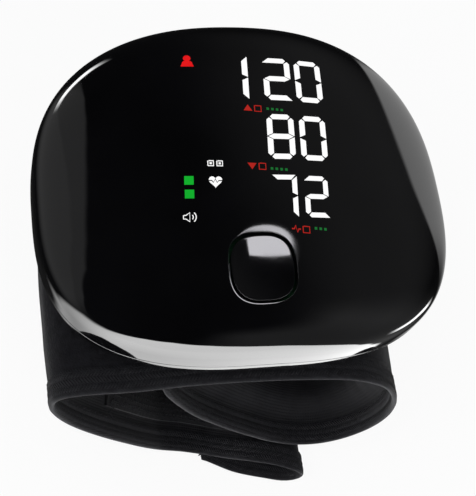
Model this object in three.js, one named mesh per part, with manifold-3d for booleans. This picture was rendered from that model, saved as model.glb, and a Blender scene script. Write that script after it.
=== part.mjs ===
// Wrist blood pressure monitor, lying on its curled sleeve with the display up.
// Millimetres. +X is the display's right, +Y its upper edge, +Z out of the display.
// The origin lies on the surface under the sleeve, below the middle of the case.
import * as THREE from 'three';
import { mergeVertices } from 'three/addons/utils/BufferGeometryUtils.js';
import Module from 'manifold-3d';

const wasm = await Module();
wasm.setup();

// Case: a rounded square with a crowned face, bowed round the wrist
const caseWidth = 84;
const caseLength = 71.2;
const crownHeight = 10.1;
const bellyDepth = 9.7;
const bowDropAcross = 9;
const bowDropAlong = 1.775;
const wall = 1.8;
const outlinePower = 2.69;
const middlePower = 2.27;
const crownPower = 5.18;
const bellyPower = 3;

// Clearances that every fit uses
const seatGap = 0.3;
const overrun = 2;

// Start button
const buttonWidth = 12.9;
const buttonLength = 14;
const buttonX = -2.2;
const buttonEndInset = 15.7;
const buttonPower = 3.6;
const buttonSkin = 1.6;
const buttonTravel = 0.5;
const buttonStemRadius = 1.7;
const switchWidth = 5.2;
const switchBodyHeight = 1.9;
const switchPlungerRadius = 1.4;
const switchPlungerHeight = 0.9;
const padWall = 0.8;
const padFlange = 0.6;

// Display stack
const displayTurn = THREE.MathUtils.degToRad(-3);
const displayX = 0.8;
const displayBoardMargin = 1;
const displayEndInset = 6.6;
const displayButtonGap = 1.9;
const digitHeightShares = [0.25, 0.2475, 0.22];
const digitWidthShare = 0.55;
const digitPitchShare = 0.625;
const segmentShare = 0.13;
const flatBarTrimShare = 2.6;
const uprightBarTrimShare = 1.4;
const digitRowShares = [0.27, -0.055, -0.375];
const digitRightShare = 0.42;
const guideThickness = 1.6;
const guideCeilingGap = 0.5;
const boardThickness = 1.2;
const displayBoardBossGap = 5.9;
const displayBoardEndInset = 6.6;

// Main board and what it carries
const mainBoardSideGap = 3.8;
const mainBoardLowerInset = 9.6;
const mainBoardUpperInset = 14.6;
const boardPostRadius = 1.6;
const boardPostInset = 3;
const boardPostHeight = 1;
const sensorSize = 7;
const sensorHeight = 3.2;
const sensorPortRadius = 1.3;
const sensorPortLength = 5;
const speakerRadius = 5.5;
const speakerHeight = 2.6;
const speakerInset = 3;
const socketWidth = 9;
const socketDepth = 7;
const socketHeight = 3.2;

// Air side
const pumpRadius = 5.1;
const pumpHeadInset = 0.3;
const pumpHeadLength = 8.5;
const pumpSideInset = 7.9;
const pumpLift = 0.5;
const pumpRowEndGap = 0.85;
const valveRadius = 3.6;
const valveLength = 10;
const cradleWidth = 1.4;
const cradleDepth = 3;
const cradleShare = 1.5;
const manifoldEdge = 0.15;
const manifoldLength = 5.5;
const manifoldHeight = 3.6;
const manifoldSocketGap = 1.2;
const manifoldEndInset = 8.4;
const portGap = 0.95;
const tubeRadius = 1.5;
const tubeBore = 0.8;
const nippleRadius = 2.1;
const nippleBore = 1;

// Cell
const cellWidth = 19;
const cellThickness = 5;
const cellSideInset = 6.5;
const cellEndGap = 2.9;
const cellLift = 0.5;

// Case screws, bosses and the plate that carries the sleeve
const screwSideInset = 14.5;
const screwEndInset = 13.1;
const screwRadius = 0.9;
const screwTipGap = 0.8;
const screwHeadRadius = 1.9;
const screwHeadHeight = 1.2;
const bossRadius = 2.6;
const plateScrewGap = 1.6;
const plateEndInset = 6.6;
const plateThickness = 1.2;

// Sleeve
const bandInset = 0.2;
const strapTaper = 20;
const loopDepth = 70.2;
const coverThickness = 0.9;
const stiffenerThickness = 0.5;
const bladderThickness = 1.2;
const liningThickness = 0.9;
const hookThickness = 0.9;
const bindingWidth = 1.6;
const bladderInset = 5;
const stiffenerInset = 3;
const hookInset = 7;

// Places along the sleeve, in points of its path
const liningOverlapPoints = 4;
const hookStartPoints = 3;
const hookEndPoints = 5;
const taperStartPoints = 0.5;
const taperEndPoints = 5;

// Steps that round stretches are drawn with
const outlineSteps = 64;
const crownSteps = 9;
const bellySteps = 6;
const roundSteps = 20;
const stationSteps = 4;
const reachRounds = 6;

// Outer face of the sleeve, from the end of the folded-back pull loop, up the left side, over
// the top and round the right side to the free end of the inner curl. Across in shares of half
// the case width, forward shift in shares of the band width, down in shares of the loop depth.
// Under the mounting plate the sleeve takes its level from the plate.
const pullLoopShares = [
  [-0.19, -0.036, 0.99], [0.02, 0.0, 0.99], [0.22, 0.05, 0.99], [0.4, 0.08, 0.99],
  [0.51, 0.098, 0.973], [0.56, 0.102, 0.93], [0.55, 0.098, 0.888], [0.475, 0.083, 0.861],
  [0.37, 0.06, 0.855], [0.262, 0.037, 0.885], [0.155, 0.01, 0.938], [0.05, -0.014, 0.9735],
];
const strapShares = [
  [-0.095, -0.033, 0.975], [-0.229, -0.036, 0.937], [-0.348, -0.027, 0.843], [-0.483, -0.019, 0.724],
  [-0.633, -0.014, 0.594], [-0.771, -0.013, 0.47], [-0.871, -0.013, 0.359], [-0.933, -0.013, 0.259],
  [-0.952, -0.013, 0.197], [-0.948, -0.013, 0.152],
];
const leftBendShares = [[-0.936, -0.011, 0.118], [-0.89, -0.009, 0.081], [-0.798, -0.006, 0.055]];
const underPlateShares = [[-0.595, 0], [-0.286, 0], [0, 0.003], [0.238, 0.006], [0.429, 0.01]];
const rightBendShares = [
  [0.571, 0.013, 0.056], [0.695, 0.016, 0.118], [0.79, 0.016, 0.208], [0.857, 0.016, 0.302],
];
const curlShares = [
  [0.898, 0.016, 0.395], [0.917, 0.016, 0.487], [0.91, 0.016, 0.587], [0.871, 0.016, 0.678],
  [0.786, 0.016, 0.761], [0.667, 0.016, 0.803], [0.524, 0.013, 0.805], [0.357, 0.006, 0.761],
  [0.224, -0.003, 0.704], [0.09, -0.011, 0.635], [-0.048, -0.023, 0.561], [-0.162, -0.031, 0.486],
  [-0.262, -0.041, 0.402], [-0.352, -0.048, 0.305], [-0.429, -0.057, 0.209],
];

// Places that follow from the sizes above
const buttonY = buttonEndInset - caseLength / 2;
const displayUpper = caseLength / 2 - displayEndInset;
const displayLower = buttonY + buttonLength / 2 + displayButtonGap;
const displayLength = displayUpper - displayLower;
const displayY = (displayUpper + displayLower) / 2;
const screwX = caseWidth / 2 - screwSideInset;
const screwY = caseLength / 2 - screwEndInset;
const displayBoardWidth = (screwX - bossRadius - displayBoardBossGap) * 2;
const displayBoardLength = caseLength - displayBoardEndInset * 2;
const displayWidth = displayBoardWidth - displayBoardMargin * 2;
const plateWidth = (screwX - screwHeadRadius - plateScrewGap) * 2;
const plateLength = caseLength - plateEndInset * 2;
const bandWidth = caseLength - bandInset * 2;
const cellX = caseWidth / 2 - cellSideInset - cellWidth / 2;
const cellLength = (screwY - bossRadius - cellEndGap) * 2;
const padRadius = switchWidth / Math.SQRT2 + seatGap + padWall;
const pumpX = pumpSideInset + pumpRadius - caseWidth / 2;
const pumpHeadSize = (pumpRadius - pumpHeadInset) * 2;
const mainBoardLeft = pumpX + pumpHeadSize / 2 + mainBoardSideGap;
const mainBoardRight = cellX - cellWidth / 2 - mainBoardSideGap;
const mainBoardWidth = mainBoardRight - mainBoardLeft;
const mainBoardX = (mainBoardRight + mainBoardLeft) / 2;
const mainBoardLength = caseLength - mainBoardLowerInset - mainBoardUpperInset;
const mainBoardY = (mainBoardLowerInset - mainBoardUpperInset) / 2;
const portSpacing = tubeRadius * 2 + portGap;
const manifoldWidth = (portSpacing + tubeRadius + manifoldEdge) * 2;
const manifoldX = -socketWidth / 2 - manifoldSocketGap - manifoldWidth / 2;
const manifoldY = caseLength / 2 - manifoldEndInset;
const nippleX = manifoldX;
const nippleY = manifoldY;
const sensorX = manifoldX + portSpacing;
const sensorY = manifoldY - manifoldLength / 2 - seatGap - sensorPortLength - sensorSize / 2;
const speakerX = mainBoardLeft + speakerInset + speakerRadius;
const speakerY = mainBoardY - mainBoardLength / 2 + speakerInset + speakerRadius;

// Levels below the top of the crown
const splitLevel = -crownHeight;
const shellBottom = -crownHeight - bellyDepth;
const sleeveTop = shellBottom - seatGap - plateThickness - seatGap;
const standHeight = loopDepth - sleeveTop;

const materials = {
  glossBlack: new THREE.MeshStandardMaterial({ color: 0x08090b, roughness: 0.08, metalness: 0 }),
  satinBlack: new THREE.MeshStandardMaterial({ color: 0x141518, roughness: 0.4, metalness: 0 }),
  frosted: new THREE.MeshStandardMaterial({ color: 0xe8ecef, roughness: 0.6, metalness: 0 }),
  boardGreen: new THREE.MeshStandardMaterial({ color: 0x1d5a34, roughness: 0.5, metalness: 0 }),
  silicone: new THREE.MeshStandardMaterial({ color: 0xb9bdc0, roughness: 0.7, metalness: 0 }),
  steel: new THREE.MeshStandardMaterial({ color: 0xb4b8bd, roughness: 0.35, metalness: 1 }),
  chipBlack: new THREE.MeshStandardMaterial({ color: 0x1b1c1f, roughness: 0.55, metalness: 0 }),
  cellSilver: new THREE.MeshStandardMaterial({ color: 0xa9adb2, roughness: 0.45, metalness: 0.6 }),
  pileBlack: new THREE.MeshStandardMaterial({ color: 0x1c1d24, roughness: 0.95, metalness: 0 }),
  liningGrey: new THREE.MeshStandardMaterial({ color: 0x2b2c34, roughness: 0.9, metalness: 0 }),
  braidGrey: new THREE.MeshStandardMaterial({ color: 0x3a3b42, roughness: 0.85, metalness: 0 }),
  bladderGrey: new THREE.MeshStandardMaterial({ color: 0x5a5c60, roughness: 0.6, metalness: 0 }),
  stiffenerWhite: new THREE.MeshStandardMaterial({ color: 0xcfd2d4, roughness: 0.5, metalness: 0 }),
};

const monitor = new THREE.Group();
monitor.position.z = standHeight;

function add(name, geometry, material) {
  const mesh = new THREE.Mesh(geometry, material);
  mesh.name = name;
  monitor.add(mesh);
  return mesh;
}

// Solids: a plain geometry becomes one that can be cut or joined, and comes back again
function toSolid(geometry) {
  const bare = geometry.clone();
  bare.deleteAttribute('normal');
  bare.deleteAttribute('uv');
  const merged = mergeVertices(bare, 1e-5);
  return new wasm.Manifold(new wasm.Mesh({
    numProp: 3,
    vertProperties: new Float32Array(merged.attributes.position.array),
    triVerts: new Uint32Array(merged.index.array),
  }));
}

function toGeometry(solid) {
  const mesh = solid.getMesh();
  const geometry = new THREE.BufferGeometry();
  geometry.setAttribute('position', new THREE.BufferAttribute(new Float32Array(mesh.vertProperties), 3));
  geometry.setIndex(new THREE.BufferAttribute(new Uint32Array(mesh.triVerts), 1));
  geometry.computeVertexNormals();
  return geometry;
}

function join(...geometries) {
  return toGeometry(geometries.map(toSolid).reduce((whole, part) => whole.add(part)));
}

function overlap(geometry, other) {
  return toGeometry(toSolid(geometry).intersect(toSolid(other)));
}

function cut(geometry, ...tools) {
  return toGeometry(tools.map(toSolid).reduce((rest, tool) => rest.subtract(tool), toSolid(geometry)));
}

// A closed skin over rings of points that run the same way round, with a fan over each end
function skin(rings) {
  const count = rings[0].length;
  const points = rings.flat();
  const faces = [];
  for (let ring = 0; ring < rings.length - 1; ring += 1) {
    for (let step = 0; step < count; step += 1) {
      const next = (step + 1) % count;
      const a = ring * count + step;
      const b = ring * count + next;
      faces.push(a, b, b + count, a, b + count, a + count);
    }
  }
  const ends = [0, rings.length - 1];
  for (const ring of ends) {
    const middle = points.length;
    const centre = new THREE.Vector3();
    rings[ring].forEach((point) => centre.add(point));
    points.push(centre.divideScalar(count));
    for (let step = 0; step < count; step += 1) {
      const a = ring * count + step;
      const b = ring * count + (step + 1) % count;
      faces.push(...(ring === 0 ? [middle, b, a] : [middle, a, b]));
    }
  }
  const geometry = new THREE.BufferGeometry().setFromPoints(points);
  geometry.setIndex(signedVolume(points, faces) < 0 ? faces.toReversed() : faces);
  geometry.computeVertexNormals();
  return geometry;
}

function signedVolume(points, faces) {
  let volume = 0;
  for (let at = 0; at < faces.length; at += 3) {
    const [a, b, c] = [points[faces[at]], points[faces[at + 1]], points[faces[at + 2]]];
    volume += a.dot(new THREE.Vector3().crossVectors(b, c));
  }
  return volume;
}

function box(width, length, height, x, y, top) {
  return new THREE.BoxGeometry(width, length, height).translate(x, y, top - height / 2);
}

function post(radius, height, x, y, top) {
  return new THREE.CylinderGeometry(radius, radius, height, roundSteps)
    .rotateX(Math.PI / 2)
    .translate(x, y, top - height / 2);
}

function rodAlongY(radius, length, x, y, z) {
  return new THREE.CylinderGeometry(radius, radius, length, roundSteps).translate(x, y, z);
}

// Case skin
function bow(x, y) {
  return bowDropAcross * (2 * x / caseWidth) ** 2 + bowDropAlong * (2 * y / caseLength) ** 2;
}

function outlineRadius(angle, power) {
  return (Math.abs(Math.cos(angle)) ** power + Math.abs(Math.sin(angle)) ** power) ** (-1 / power);
}

// A ring of the crown or belly skin: reach is 0 at the pole and 1 at the widest line
function caseRing(reach, height, inset) {
  const ring = [];
  const power = middlePower + (outlinePower - middlePower) * reach * reach;
  for (let step = 0; step < outlineSteps; step += 1) {
    const angle = step / outlineSteps * 2 * Math.PI;
    const radius = outlineRadius(angle, power) * reach;
    const x = (caseWidth / 2 - inset) * radius * Math.cos(angle);
    const y = (caseLength / 2 - inset) * radius * Math.sin(angle);
    ring.push(new THREE.Vector3(x, y, height - bow(x, y)));
  }
  return ring;
}

function domeRings(steps, power, rimLevel, rise, inset) {
  const turned = Array.from({ length: steps - 1 }, (_, step) => (
    Math.sin((step + 1) / steps * Math.PI / 2) ** (2 / power)));
  const reaches = [turned[0] / 3, turned[0] * 2 / 3, ...turned, 1];
  return reaches.map((reach) => {
    const level = rimLevel + rise * (1 - reach ** power) ** (1 / power);
    return caseRing(reach, level, inset);
  });
}

// Height of the crown's inner face over a place in the case, and of the belly's
function skinLevel(x, y, power, rimLevel, rise, inset) {
  const across = Math.abs(x) / (caseWidth / 2 - inset);
  const along = Math.abs(y) / (caseLength / 2 - inset);
  let reach = Math.max(across, along);
  for (let round = 0; round < reachRounds; round += 1) {
    const bend = middlePower + (outlinePower - middlePower) * reach * reach;
    reach = Math.min((across ** bend + along ** bend) ** (1 / bend), 1);
  }
  return rimLevel + rise * (1 - reach ** power) ** (1 / power) - bow(x, y);
}

// The lowest ceiling, or the highest floor, over a rectangle of the given size
function levelsOver(levelAt, x, y, width, length) {
  const sides = [-1, 0, 1];
  return sides.flatMap((sideX) => sides.map((sideY) => (
    levelAt(x + sideX * width / 2, y + sideY * length / 2))));
}

function ceilingOver(x, y, width, length) {
  return Math.min(...levelsOver(ceilingAt, x, y, width, length));
}

function floorOver(x, y, width, length) {
  return Math.max(...levelsOver(floorAt, x, y, width, length));
}

function ceilingAt(x, y) {
  return skinLevel(x, y, crownPower, splitLevel, crownHeight - wall, wall);
}

function faceAt(x, y) {
  return skinLevel(x, y, crownPower, splitLevel, crownHeight, 0);
}

function floorAt(x, y) {
  return skinLevel(x, y, bellyPower, splitLevel, wall - bellyDepth, wall);
}

function undersideAt(x, y) {
  return skinLevel(x, y, bellyPower, splitLevel, -bellyDepth, 0);
}

function plateUndersideAt(x) {
  return undersideAt(x, 0) - seatGap - plateThickness;
}

// Levels inside the case
const guideTop = ceilingOver(displayX, displayY, displayWidth, displayLength) - seatGap;
const displayBoardTop = guideTop - guideThickness - seatGap;
const mainBoardTop = floorOver(mainBoardX, mainBoardY, mainBoardWidth, mainBoardLength)
  + boardPostHeight + boardThickness;
const switchSeat = displayBoardTop + seatGap + switchBodyHeight;
const switchTop = switchSeat + switchPlungerHeight;

// The pump, its head and the valve lie in a row between the left bosses
const pumpRowLength = (screwY - bossRadius - pumpRowEndGap) * 2;
const pumpLength = pumpRowLength - pumpHeadLength - valveLength - seatGap * 2;
const pumpY = (pumpLength - pumpRowLength) / 2;
const headY = pumpY + pumpLength / 2 + seatGap + pumpHeadLength / 2;
const valveY = headY + pumpHeadLength / 2 + seatGap + valveLength / 2;
const pumpLevel = floorOver(pumpX, pumpY, 0, pumpLength) + pumpLift + pumpRadius;
const cellTop = floorOver(cellX, 0, cellWidth, cellLength) + cellLift + cellThickness;

function buttonPrism(inset, top, height) {
  const outline = new THREE.Shape();
  for (let step = 0; step < outlineSteps / 2; step += 1) {
    const angle = step / (outlineSteps / 2) * 2 * Math.PI;
    const radius = outlineRadius(angle, buttonPower);
    const x = (buttonWidth / 2 - inset) * radius * Math.cos(angle);
    const y = (buttonLength / 2 - inset) * radius * Math.sin(angle);
    if (step === 0) outline.moveTo(x, y);
    else outline.lineTo(x, y);
  }
  return new THREE.ExtrudeGeometry(outline, { depth: height, bevelEnabled: false })
    .translate(buttonX, buttonY, top - height);
}

const corners = [[1, 1], [-1, 1], [-1, -1], [1, -1]];
const screwPlaces = corners.map(([sideX, sideY]) => [sideX * screwX, sideY * screwY]);

function bossHoleEnd(x, y) {
  return ceilingOver(x, y, bossRadius * 2, bossRadius * 2) - wall;
}

function frontShell() {
  const outer = domeRings(crownSteps, crownPower, splitLevel, crownHeight, 0);
  const inner = domeRings(crownSteps, crownPower, splitLevel, crownHeight - wall, wall);
  const hollow = skin([...outer, ...inner.toReversed()]);
  const middle = skin(domeRings(crownSteps, crownPower, splitLevel, crownHeight - wall / 2, wall / 2));
  const bosses = screwPlaces.map(([x, y]) => {
    const height = crownHeight + bow(x, y);
    const boss = overlap(post(bossRadius, height, x, y, 0), middle);
    return cut(boss, post(screwRadius + seatGap, height, x, y, bossHoleEnd(x, y)));
  });
  const buttonHole = buttonPrism(-seatGap, overrun, overrun * 2 - ceilingAt(buttonX, buttonY));
  return cut(join(hollow, ...bosses), buttonHole);
}

function rearShell() {
  const rim = splitLevel - seatGap;
  const outer = domeRings(bellySteps, bellyPower, rim, seatGap - bellyDepth, 0);
  const inner = domeRings(bellySteps, bellyPower, rim, seatGap + wall - bellyDepth, wall);
  const hollow = skin([...outer, ...inner.toReversed()]);
  const tools = [post(nippleRadius + seatGap, crownHeight, nippleX, nippleY, splitLevel - crownHeight / 2)];
  for (const [x, y] of screwPlaces) {
    tools.push(post(screwRadius + seatGap, crownHeight, x, y, floorAt(x, y) + crownHeight / 2));
  }
  tools.push(socketOpening());
  return cut(join(hollow, ...boardPosts(), ...cradles()), ...tools);
}

// A post or rib that stands on the belly, its foot sunk into the middle of the wall
function onFloor(geometry) {
  const rise = seatGap + wall / 2 - bellyDepth;
  const middle = domeRings(bellySteps, bellyPower, splitLevel - seatGap, rise, wall / 2);
  return overlap(geometry, skin(middle));
}

// Posts under the main board, and cradles under the pump, the valve and the cell
function boardPosts() {
  const top = mainBoardTop - boardThickness - seatGap;
  return corners.map(([sideX, sideY]) => {
    const x = mainBoardX + sideX * (mainBoardWidth / 2 - boardPostInset);
    const y = mainBoardY + sideY * (mainBoardLength / 2 - boardPostInset);
    return onFloor(post(boardPostRadius, bellyDepth, x, y, top));
  });
}

function cradle(y, radius, length, depth) {
  const rib = box(radius * cradleShare, cradleWidth, bellyDepth, pumpX, y, pumpLevel - radius + depth);
  return cut(onFloor(rib), rodAlongY(radius + seatGap, length, pumpX, y, pumpLevel));
}

function cradles() {
  return [-1, 1].flatMap((side) => [
    cradle(pumpY + side * pumpLength / 4, pumpRadius, pumpLength, cradleDepth),
    cradle(valveY + side * valveLength / 4, valveRadius, valveLength, cradleDepth / 2),
    onFloor(box(cellWidth / 2, cradleWidth, bellyDepth, cellX, side * cellLength / 4,
      cellTop - cellThickness - seatGap)),
  ]);
}

// The charging socket sits in the upper end wall, just under the parting line
const socketTop = splitLevel - seatGap * 2 - bow(0, caseLength / 2);
const socketBack = caseLength / 2 - wall / 2;

function socketOpening() {
  const length = socketDepth + seatGap + overrun;
  return box(socketWidth + seatGap * 2, length, socketHeight + seatGap + overrun,
    0, socketBack + overrun - length / 2, socketTop + overrun);
}

function startButton() {
  const height = crownHeight;
  const cap = toSolid(buttonPrism(seatGap, 0, height));
  const outer = toSolid(skin(domeRings(crownSteps, crownPower, splitLevel, crownHeight, 0)));
  const under = toSolid(skin(domeRings(crownSteps, crownPower, splitLevel, crownHeight - buttonSkin, 0)));
  const lid = toGeometry(cap.intersect(outer).subtract(under));
  const stemTop = faceAt(buttonX, buttonY) - buttonSkin / 2;
  return join(lid, post(buttonStemRadius, stemTop - switchTop - seatGap, buttonX, buttonY, stemTop));
}

// Seven-segment bars that carry the light up to the face, for the three readings
const litBars = { 0: 'abcdef', 1: 'bc', 2: 'abged', 7: 'abc', 8: 'abcdefg' };
const flatBarShares = { a: [0, 1], g: [0, 0], d: [0, -1] };
const uprightBarShares = { b: [1, 0.5], c: [1, -0.5], e: [-1, -0.5], f: [-1, 0.5] };
const readings = ['120', '80', '72'];

function displayPlace(across, along) {
  const x = across * Math.cos(displayTurn) - along * Math.sin(displayTurn);
  const y = across * Math.sin(displayTurn) + along * Math.cos(displayTurn);
  return [displayX + x, displayY + y];
}

function lightBar(name, height, acrossMiddle, alongMiddle) {
  const bar = height * segmentShare;
  const upright = name in uprightBarShares;
  const [side, level] = upright ? uprightBarShares[name] : flatBarShares[name];
  const width = upright ? bar : height * digitWidthShare - bar * flatBarTrimShare;
  const length = upright ? height / 2 - bar * uprightBarTrimShare : bar;
  const longest = Math.max(width, length);
  const [x, y] = displayPlace(
    acrossMiddle + side * (height * digitWidthShare - bar) / 2,
    alongMiddle + level * (height - bar) / 2,
  );
  const top = ceilingOver(x, y, longest, longest) - guideCeilingGap;
  const rise = top - guideTop + guideThickness / 2;
  return new THREE.BoxGeometry(width, length, rise).rotateZ(displayTurn).translate(x, y, top - rise / 2);
}

function lightGuide() {
  const plate = box(displayWidth, displayLength, guideThickness, displayX, displayY, guideTop);
  const bars = readings.flatMap((reading, row) => {
    const height = displayLength * digitHeightShares[row];
    return [...reading].flatMap((digit, place) => {
      const fromRight = reading.length - 1 - place;
      const back = height * (digitWidthShare / 2 + fromRight * digitPitchShare);
      const across = digitRightShare * displayWidth - back;
      const along = digitRowShares[row] * displayLength;
      return [...litBars[digit]].map((name) => lightBar(name, height, across, along));
    });
  });
  return join(plate, ...bars);
}

// Sleeve stations: the spline passes through every point of the shares above
const topShares = [...leftBendShares, ...underPlateShares, ...rightBendShares];
const pathShares = [...pullLoopShares, ...strapShares, ...topShares, ...curlShares];
const path = new THREE.CatmullRomCurve3(pathShares.map(([across, forward, down]) => {
  const x = across * caseWidth / 2;
  const level = down === undefined ? plateUndersideAt(x) - seatGap : sleeveTop - down * loopDepth;
  return new THREE.Vector3(x, -bandWidth / 2 - forward * bandWidth, level);
}), false, 'centripetal');
const lastPoint = pathShares.length - 1;
const strapStart = pullLoopShares.length;
const leftHinge = strapStart + strapShares.length - 1;
const rightHinge = lastPoint - curlShares.length;

function station(at) {
  const share = Math.min(Math.max(at / lastPoint, 0), 1);
  const point = path.getPoint(share);
  const tangent = path.getTangent(share).setY(0).normalize();
  const beyond = at < 0 ? at : Math.max(at - lastPoint, 0);
  point.addScaledVector(tangent, beyond * overrun);
  return { point, outward: new THREE.Vector3(-tangent.z, 0, tangent.x) };
}

// The strap is narrower than the rest of the band: its rear edge draws in beyond the left fold line
function rearTrim(at) {
  const start = leftHinge + taperEndPoints;
  return strapTaper * (1 - THREE.MathUtils.smoothstep(at, leftHinge + taperStartPoints, start));
}

// A stretch of the band between two places on the path, two depths under its outer face, and two
// distances from its front edge
function stretch(from, to, outer, thickness, front, rear) {
  const count = Math.ceil((to - from) * stationSteps);
  const rings = Array.from({ length: count + 1 }, (_, step) => {
    const at = from + (to - from) * step / count;
    const { point, outward } = station(at);
    const section = [[outer, front], [outer, rear], [outer + thickness, rear], [outer + thickness, front]];
    return section.map(([depth, along]) => {
      const corner = point.clone().addScaledVector(outward, -depth);
      corner.y += along > bandWidth / 2 ? along - rearTrim(at) : along;
      return corner;
    });
  });
  return skin(rings);
}

function layer(from, to, outer, thickness, inset) {
  return stretch(from, to, outer, thickness, inset, bandWidth - inset);
}

function frontTape(from, to, thickness) {
  return stretch(from, to, 0, thickness, 0, bindingWidth);
}

function rearTape(from, to, thickness) {
  return stretch(from, to, 0, thickness, bandWidth - bindingWidth, bandWidth);
}

// Depths of the sleeve's layers under its outer face
const fabricInset = bindingWidth + seatGap;
const stiffenerDepth = coverThickness + seatGap;
const bladderDepth = stiffenerDepth + stiffenerThickness + seatGap;
const liningDepth = bladderDepth + bladderThickness + seatGap;
const sleeveThickness = liningDepth + liningThickness;
const strapLiningDepth = coverThickness + seatGap;
const strapThickness = strapLiningDepth + liningThickness;

// Gaps along the path, in shares of one step between its points
const hingeGapShare = 0.05;
const endGapShare = 0.2;

add('front_shell', frontShell(), materials.glossBlack);
add('rear_shell', rearShell(), materials.satinBlack);
add('start_button', startButton(), materials.glossBlack);
add('display_light_guide', lightGuide(), materials.frosted);
add('display_board', box(displayBoardWidth, displayBoardLength, boardThickness,
  displayX, 0, displayBoardTop), materials.boardGreen);

const plungerRecess = buttonTravel + seatGap * 2;
add('tact_switch', cut(
  box(switchWidth, switchWidth, switchBodyHeight, buttonX, buttonY, switchSeat),
  post(switchPlungerRadius + seatGap, plungerRecess + overrun, buttonX, buttonY, switchSeat + overrun),
), materials.chipBlack);
add('switch_plunger', post(
  switchPlungerRadius, switchPlungerHeight + seatGap, buttonX, buttonY, switchTop), materials.frosted);

// Silicone sleeve that springs the button back, with a foot on the display board
const padFoot = displayBoardTop + seatGap;
const padTop = ceilingOver(buttonX, buttonY, padRadius * 2, padRadius * 2) - buttonTravel - seatGap;
add('button_return_pad', cut(
  join(
    post(padRadius, padTop - padFoot, buttonX, buttonY, padTop),
    post(padRadius + padWall, padFlange, buttonX, buttonY, padFoot + padFlange),
  ),
  post(padRadius - padWall, padTop - padFoot + overrun * 2, buttonX, buttonY, padTop + overrun),
), materials.silicone);

add('main_board', box(mainBoardWidth, mainBoardLength, boardThickness,
  mainBoardX, mainBoardY, mainBoardTop), materials.boardGreen);

// The sensor's port starts in the middle of its body and ends at the manifold
const sensorTop = mainBoardTop + seatGap + sensorHeight;
const sensorRod = sensorSize / 2 + sensorPortLength;
add('pressure_sensor', join(
  box(sensorSize, sensorSize, sensorHeight, sensorX, sensorY, sensorTop),
  rodAlongY(sensorPortRadius, sensorRod, sensorX, sensorY + sensorRod / 2, sensorTop - sensorHeight / 2),
), materials.chipBlack);
const speakerTop = mainBoardTop + seatGap + speakerHeight;
add('speaker', post(speakerRadius, speakerHeight, speakerX, speakerY, speakerTop), materials.steel);
add('charge_socket', cut(
  box(socketWidth, socketDepth, socketHeight, 0, socketBack - socketDepth / 2, socketTop),
  box(socketWidth - wall, socketDepth, socketHeight - wall,
    0, socketBack + wall - socketDepth / 2, socketTop - wall / 2),
), materials.steel);

add('air_pump_motor', rodAlongY(pumpRadius, pumpLength, pumpX, pumpY, pumpLevel), materials.steel);
add('air_pump_head', box(pumpHeadSize, pumpHeadLength, pumpHeadSize,
  pumpX, headY, pumpLevel + pumpHeadSize / 2), materials.chipBlack);
add('release_valve', rodAlongY(valveRadius, valveLength, pumpX, valveY, pumpLevel), materials.steel);
add('battery_cell', box(cellWidth, cellLength, cellThickness, cellX, 0, cellTop), materials.cellSilver);

screwPlaces.forEach(([x, y], place) => {
  const under = [-1, 1].flatMap((side) => [
    undersideAt(x + side * screwHeadRadius, y), undersideAt(x, y + side * screwHeadRadius)]);
  const headTop = Math.min(...under) - seatGap;
  const tip = bossHoleEnd(x, y) - screwTipGap;
  add(`case_screw_${place + 1}`, join(
    post(screwHeadRadius, screwHeadHeight, x, y, headTop),
    post(screwRadius, tip - headTop + screwHeadHeight / 2, x, y, tip),
  ), materials.steel);
});

// Air path: a moulded tee over the nipple, fed by the pump and vented by the valve
const tubeLevel = mainBoardTop + seatGap * 2 + tubeRadius;
const teeFront = manifoldY - manifoldLength / 2;

function tube(points) {
  const ring = new THREE.Shape().absarc(0, 0, tubeRadius, 0, 2 * Math.PI);
  ring.holes.push(new THREE.Path().absarc(0, 0, tubeBore, 0, 2 * Math.PI));
  const route = new THREE.CatmullRomCurve3(points.map(([x, y]) => new THREE.Vector3(x, y, tubeLevel)));
  return new THREE.ExtrudeGeometry(ring, { extrudePath: route, steps: roundSteps / 2, curveSegments: 4 });
}

add('air_manifold', box(manifoldWidth, manifoldLength, manifoldHeight,
  manifoldX, manifoldY, tubeLevel + manifoldHeight / 2), materials.silicone);
const headSide = pumpX + pumpHeadSize / 2 + seatGap;
add('pump_tube', tube([
  [headSide + seatGap, headY], [headSide + tubeRadius * 2, headY + tubeRadius / 2],
  [sensorX - sensorSize / 2 - seatGap - tubeRadius, teeFront - sensorPortLength],
  [manifoldX, teeFront - seatGap * 2],
]), materials.silicone);
const valveSide = pumpX + valveRadius + seatGap;
const valvePortX = manifoldX - portSpacing;
add('valve_tube', tube([
  [valveSide + seatGap, valveY], [valveSide + tubeRadius, valveY + tubeRadius / 2],
  [valvePortX - tubeRadius, teeFront - sensorPortLength], [valvePortX, teeFront - seatGap * 2],
]), materials.silicone);
const nippleTop = tubeLevel - manifoldHeight / 2 - seatGap;
const nippleHeight = nippleTop - plateUndersideAt(nippleX) + bladderDepth;
add('bladder_nipple', cut(
  post(nippleRadius, nippleHeight, nippleX, nippleY, nippleTop),
  post(nippleBore, nippleHeight + overrun * 2, nippleX, nippleY, nippleTop + overrun),
), materials.silicone);

// Plate that clips to the case and carries the sleeve
function mountPlate() {
  const outline = new THREE.Shape();
  const steps = Array.from({ length: roundSteps + 1 }, (_, step) => (step / roundSteps - 0.5) * plateWidth);
  const tops = steps.map((x) => [x, plateUndersideAt(x) + plateThickness]);
  const section = [...tops, ...steps.toReversed().map((x) => [x, plateUndersideAt(x)])];
  outline.setFromPoints(section.map(([x, level]) => new THREE.Vector2(x, level)));
  return new THREE.ExtrudeGeometry(outline, { depth: plateLength, bevelEnabled: false })
    .rotateX(Math.PI / 2)
    .translate(0, plateLength / 2, 0);
}

const nippleHole = post(nippleRadius + seatGap, nippleHeight + overrun, nippleX, nippleY, nippleTop);
add('sleeve_mount_plate', cut(mountPlate(), nippleHole), materials.satinBlack);

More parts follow.
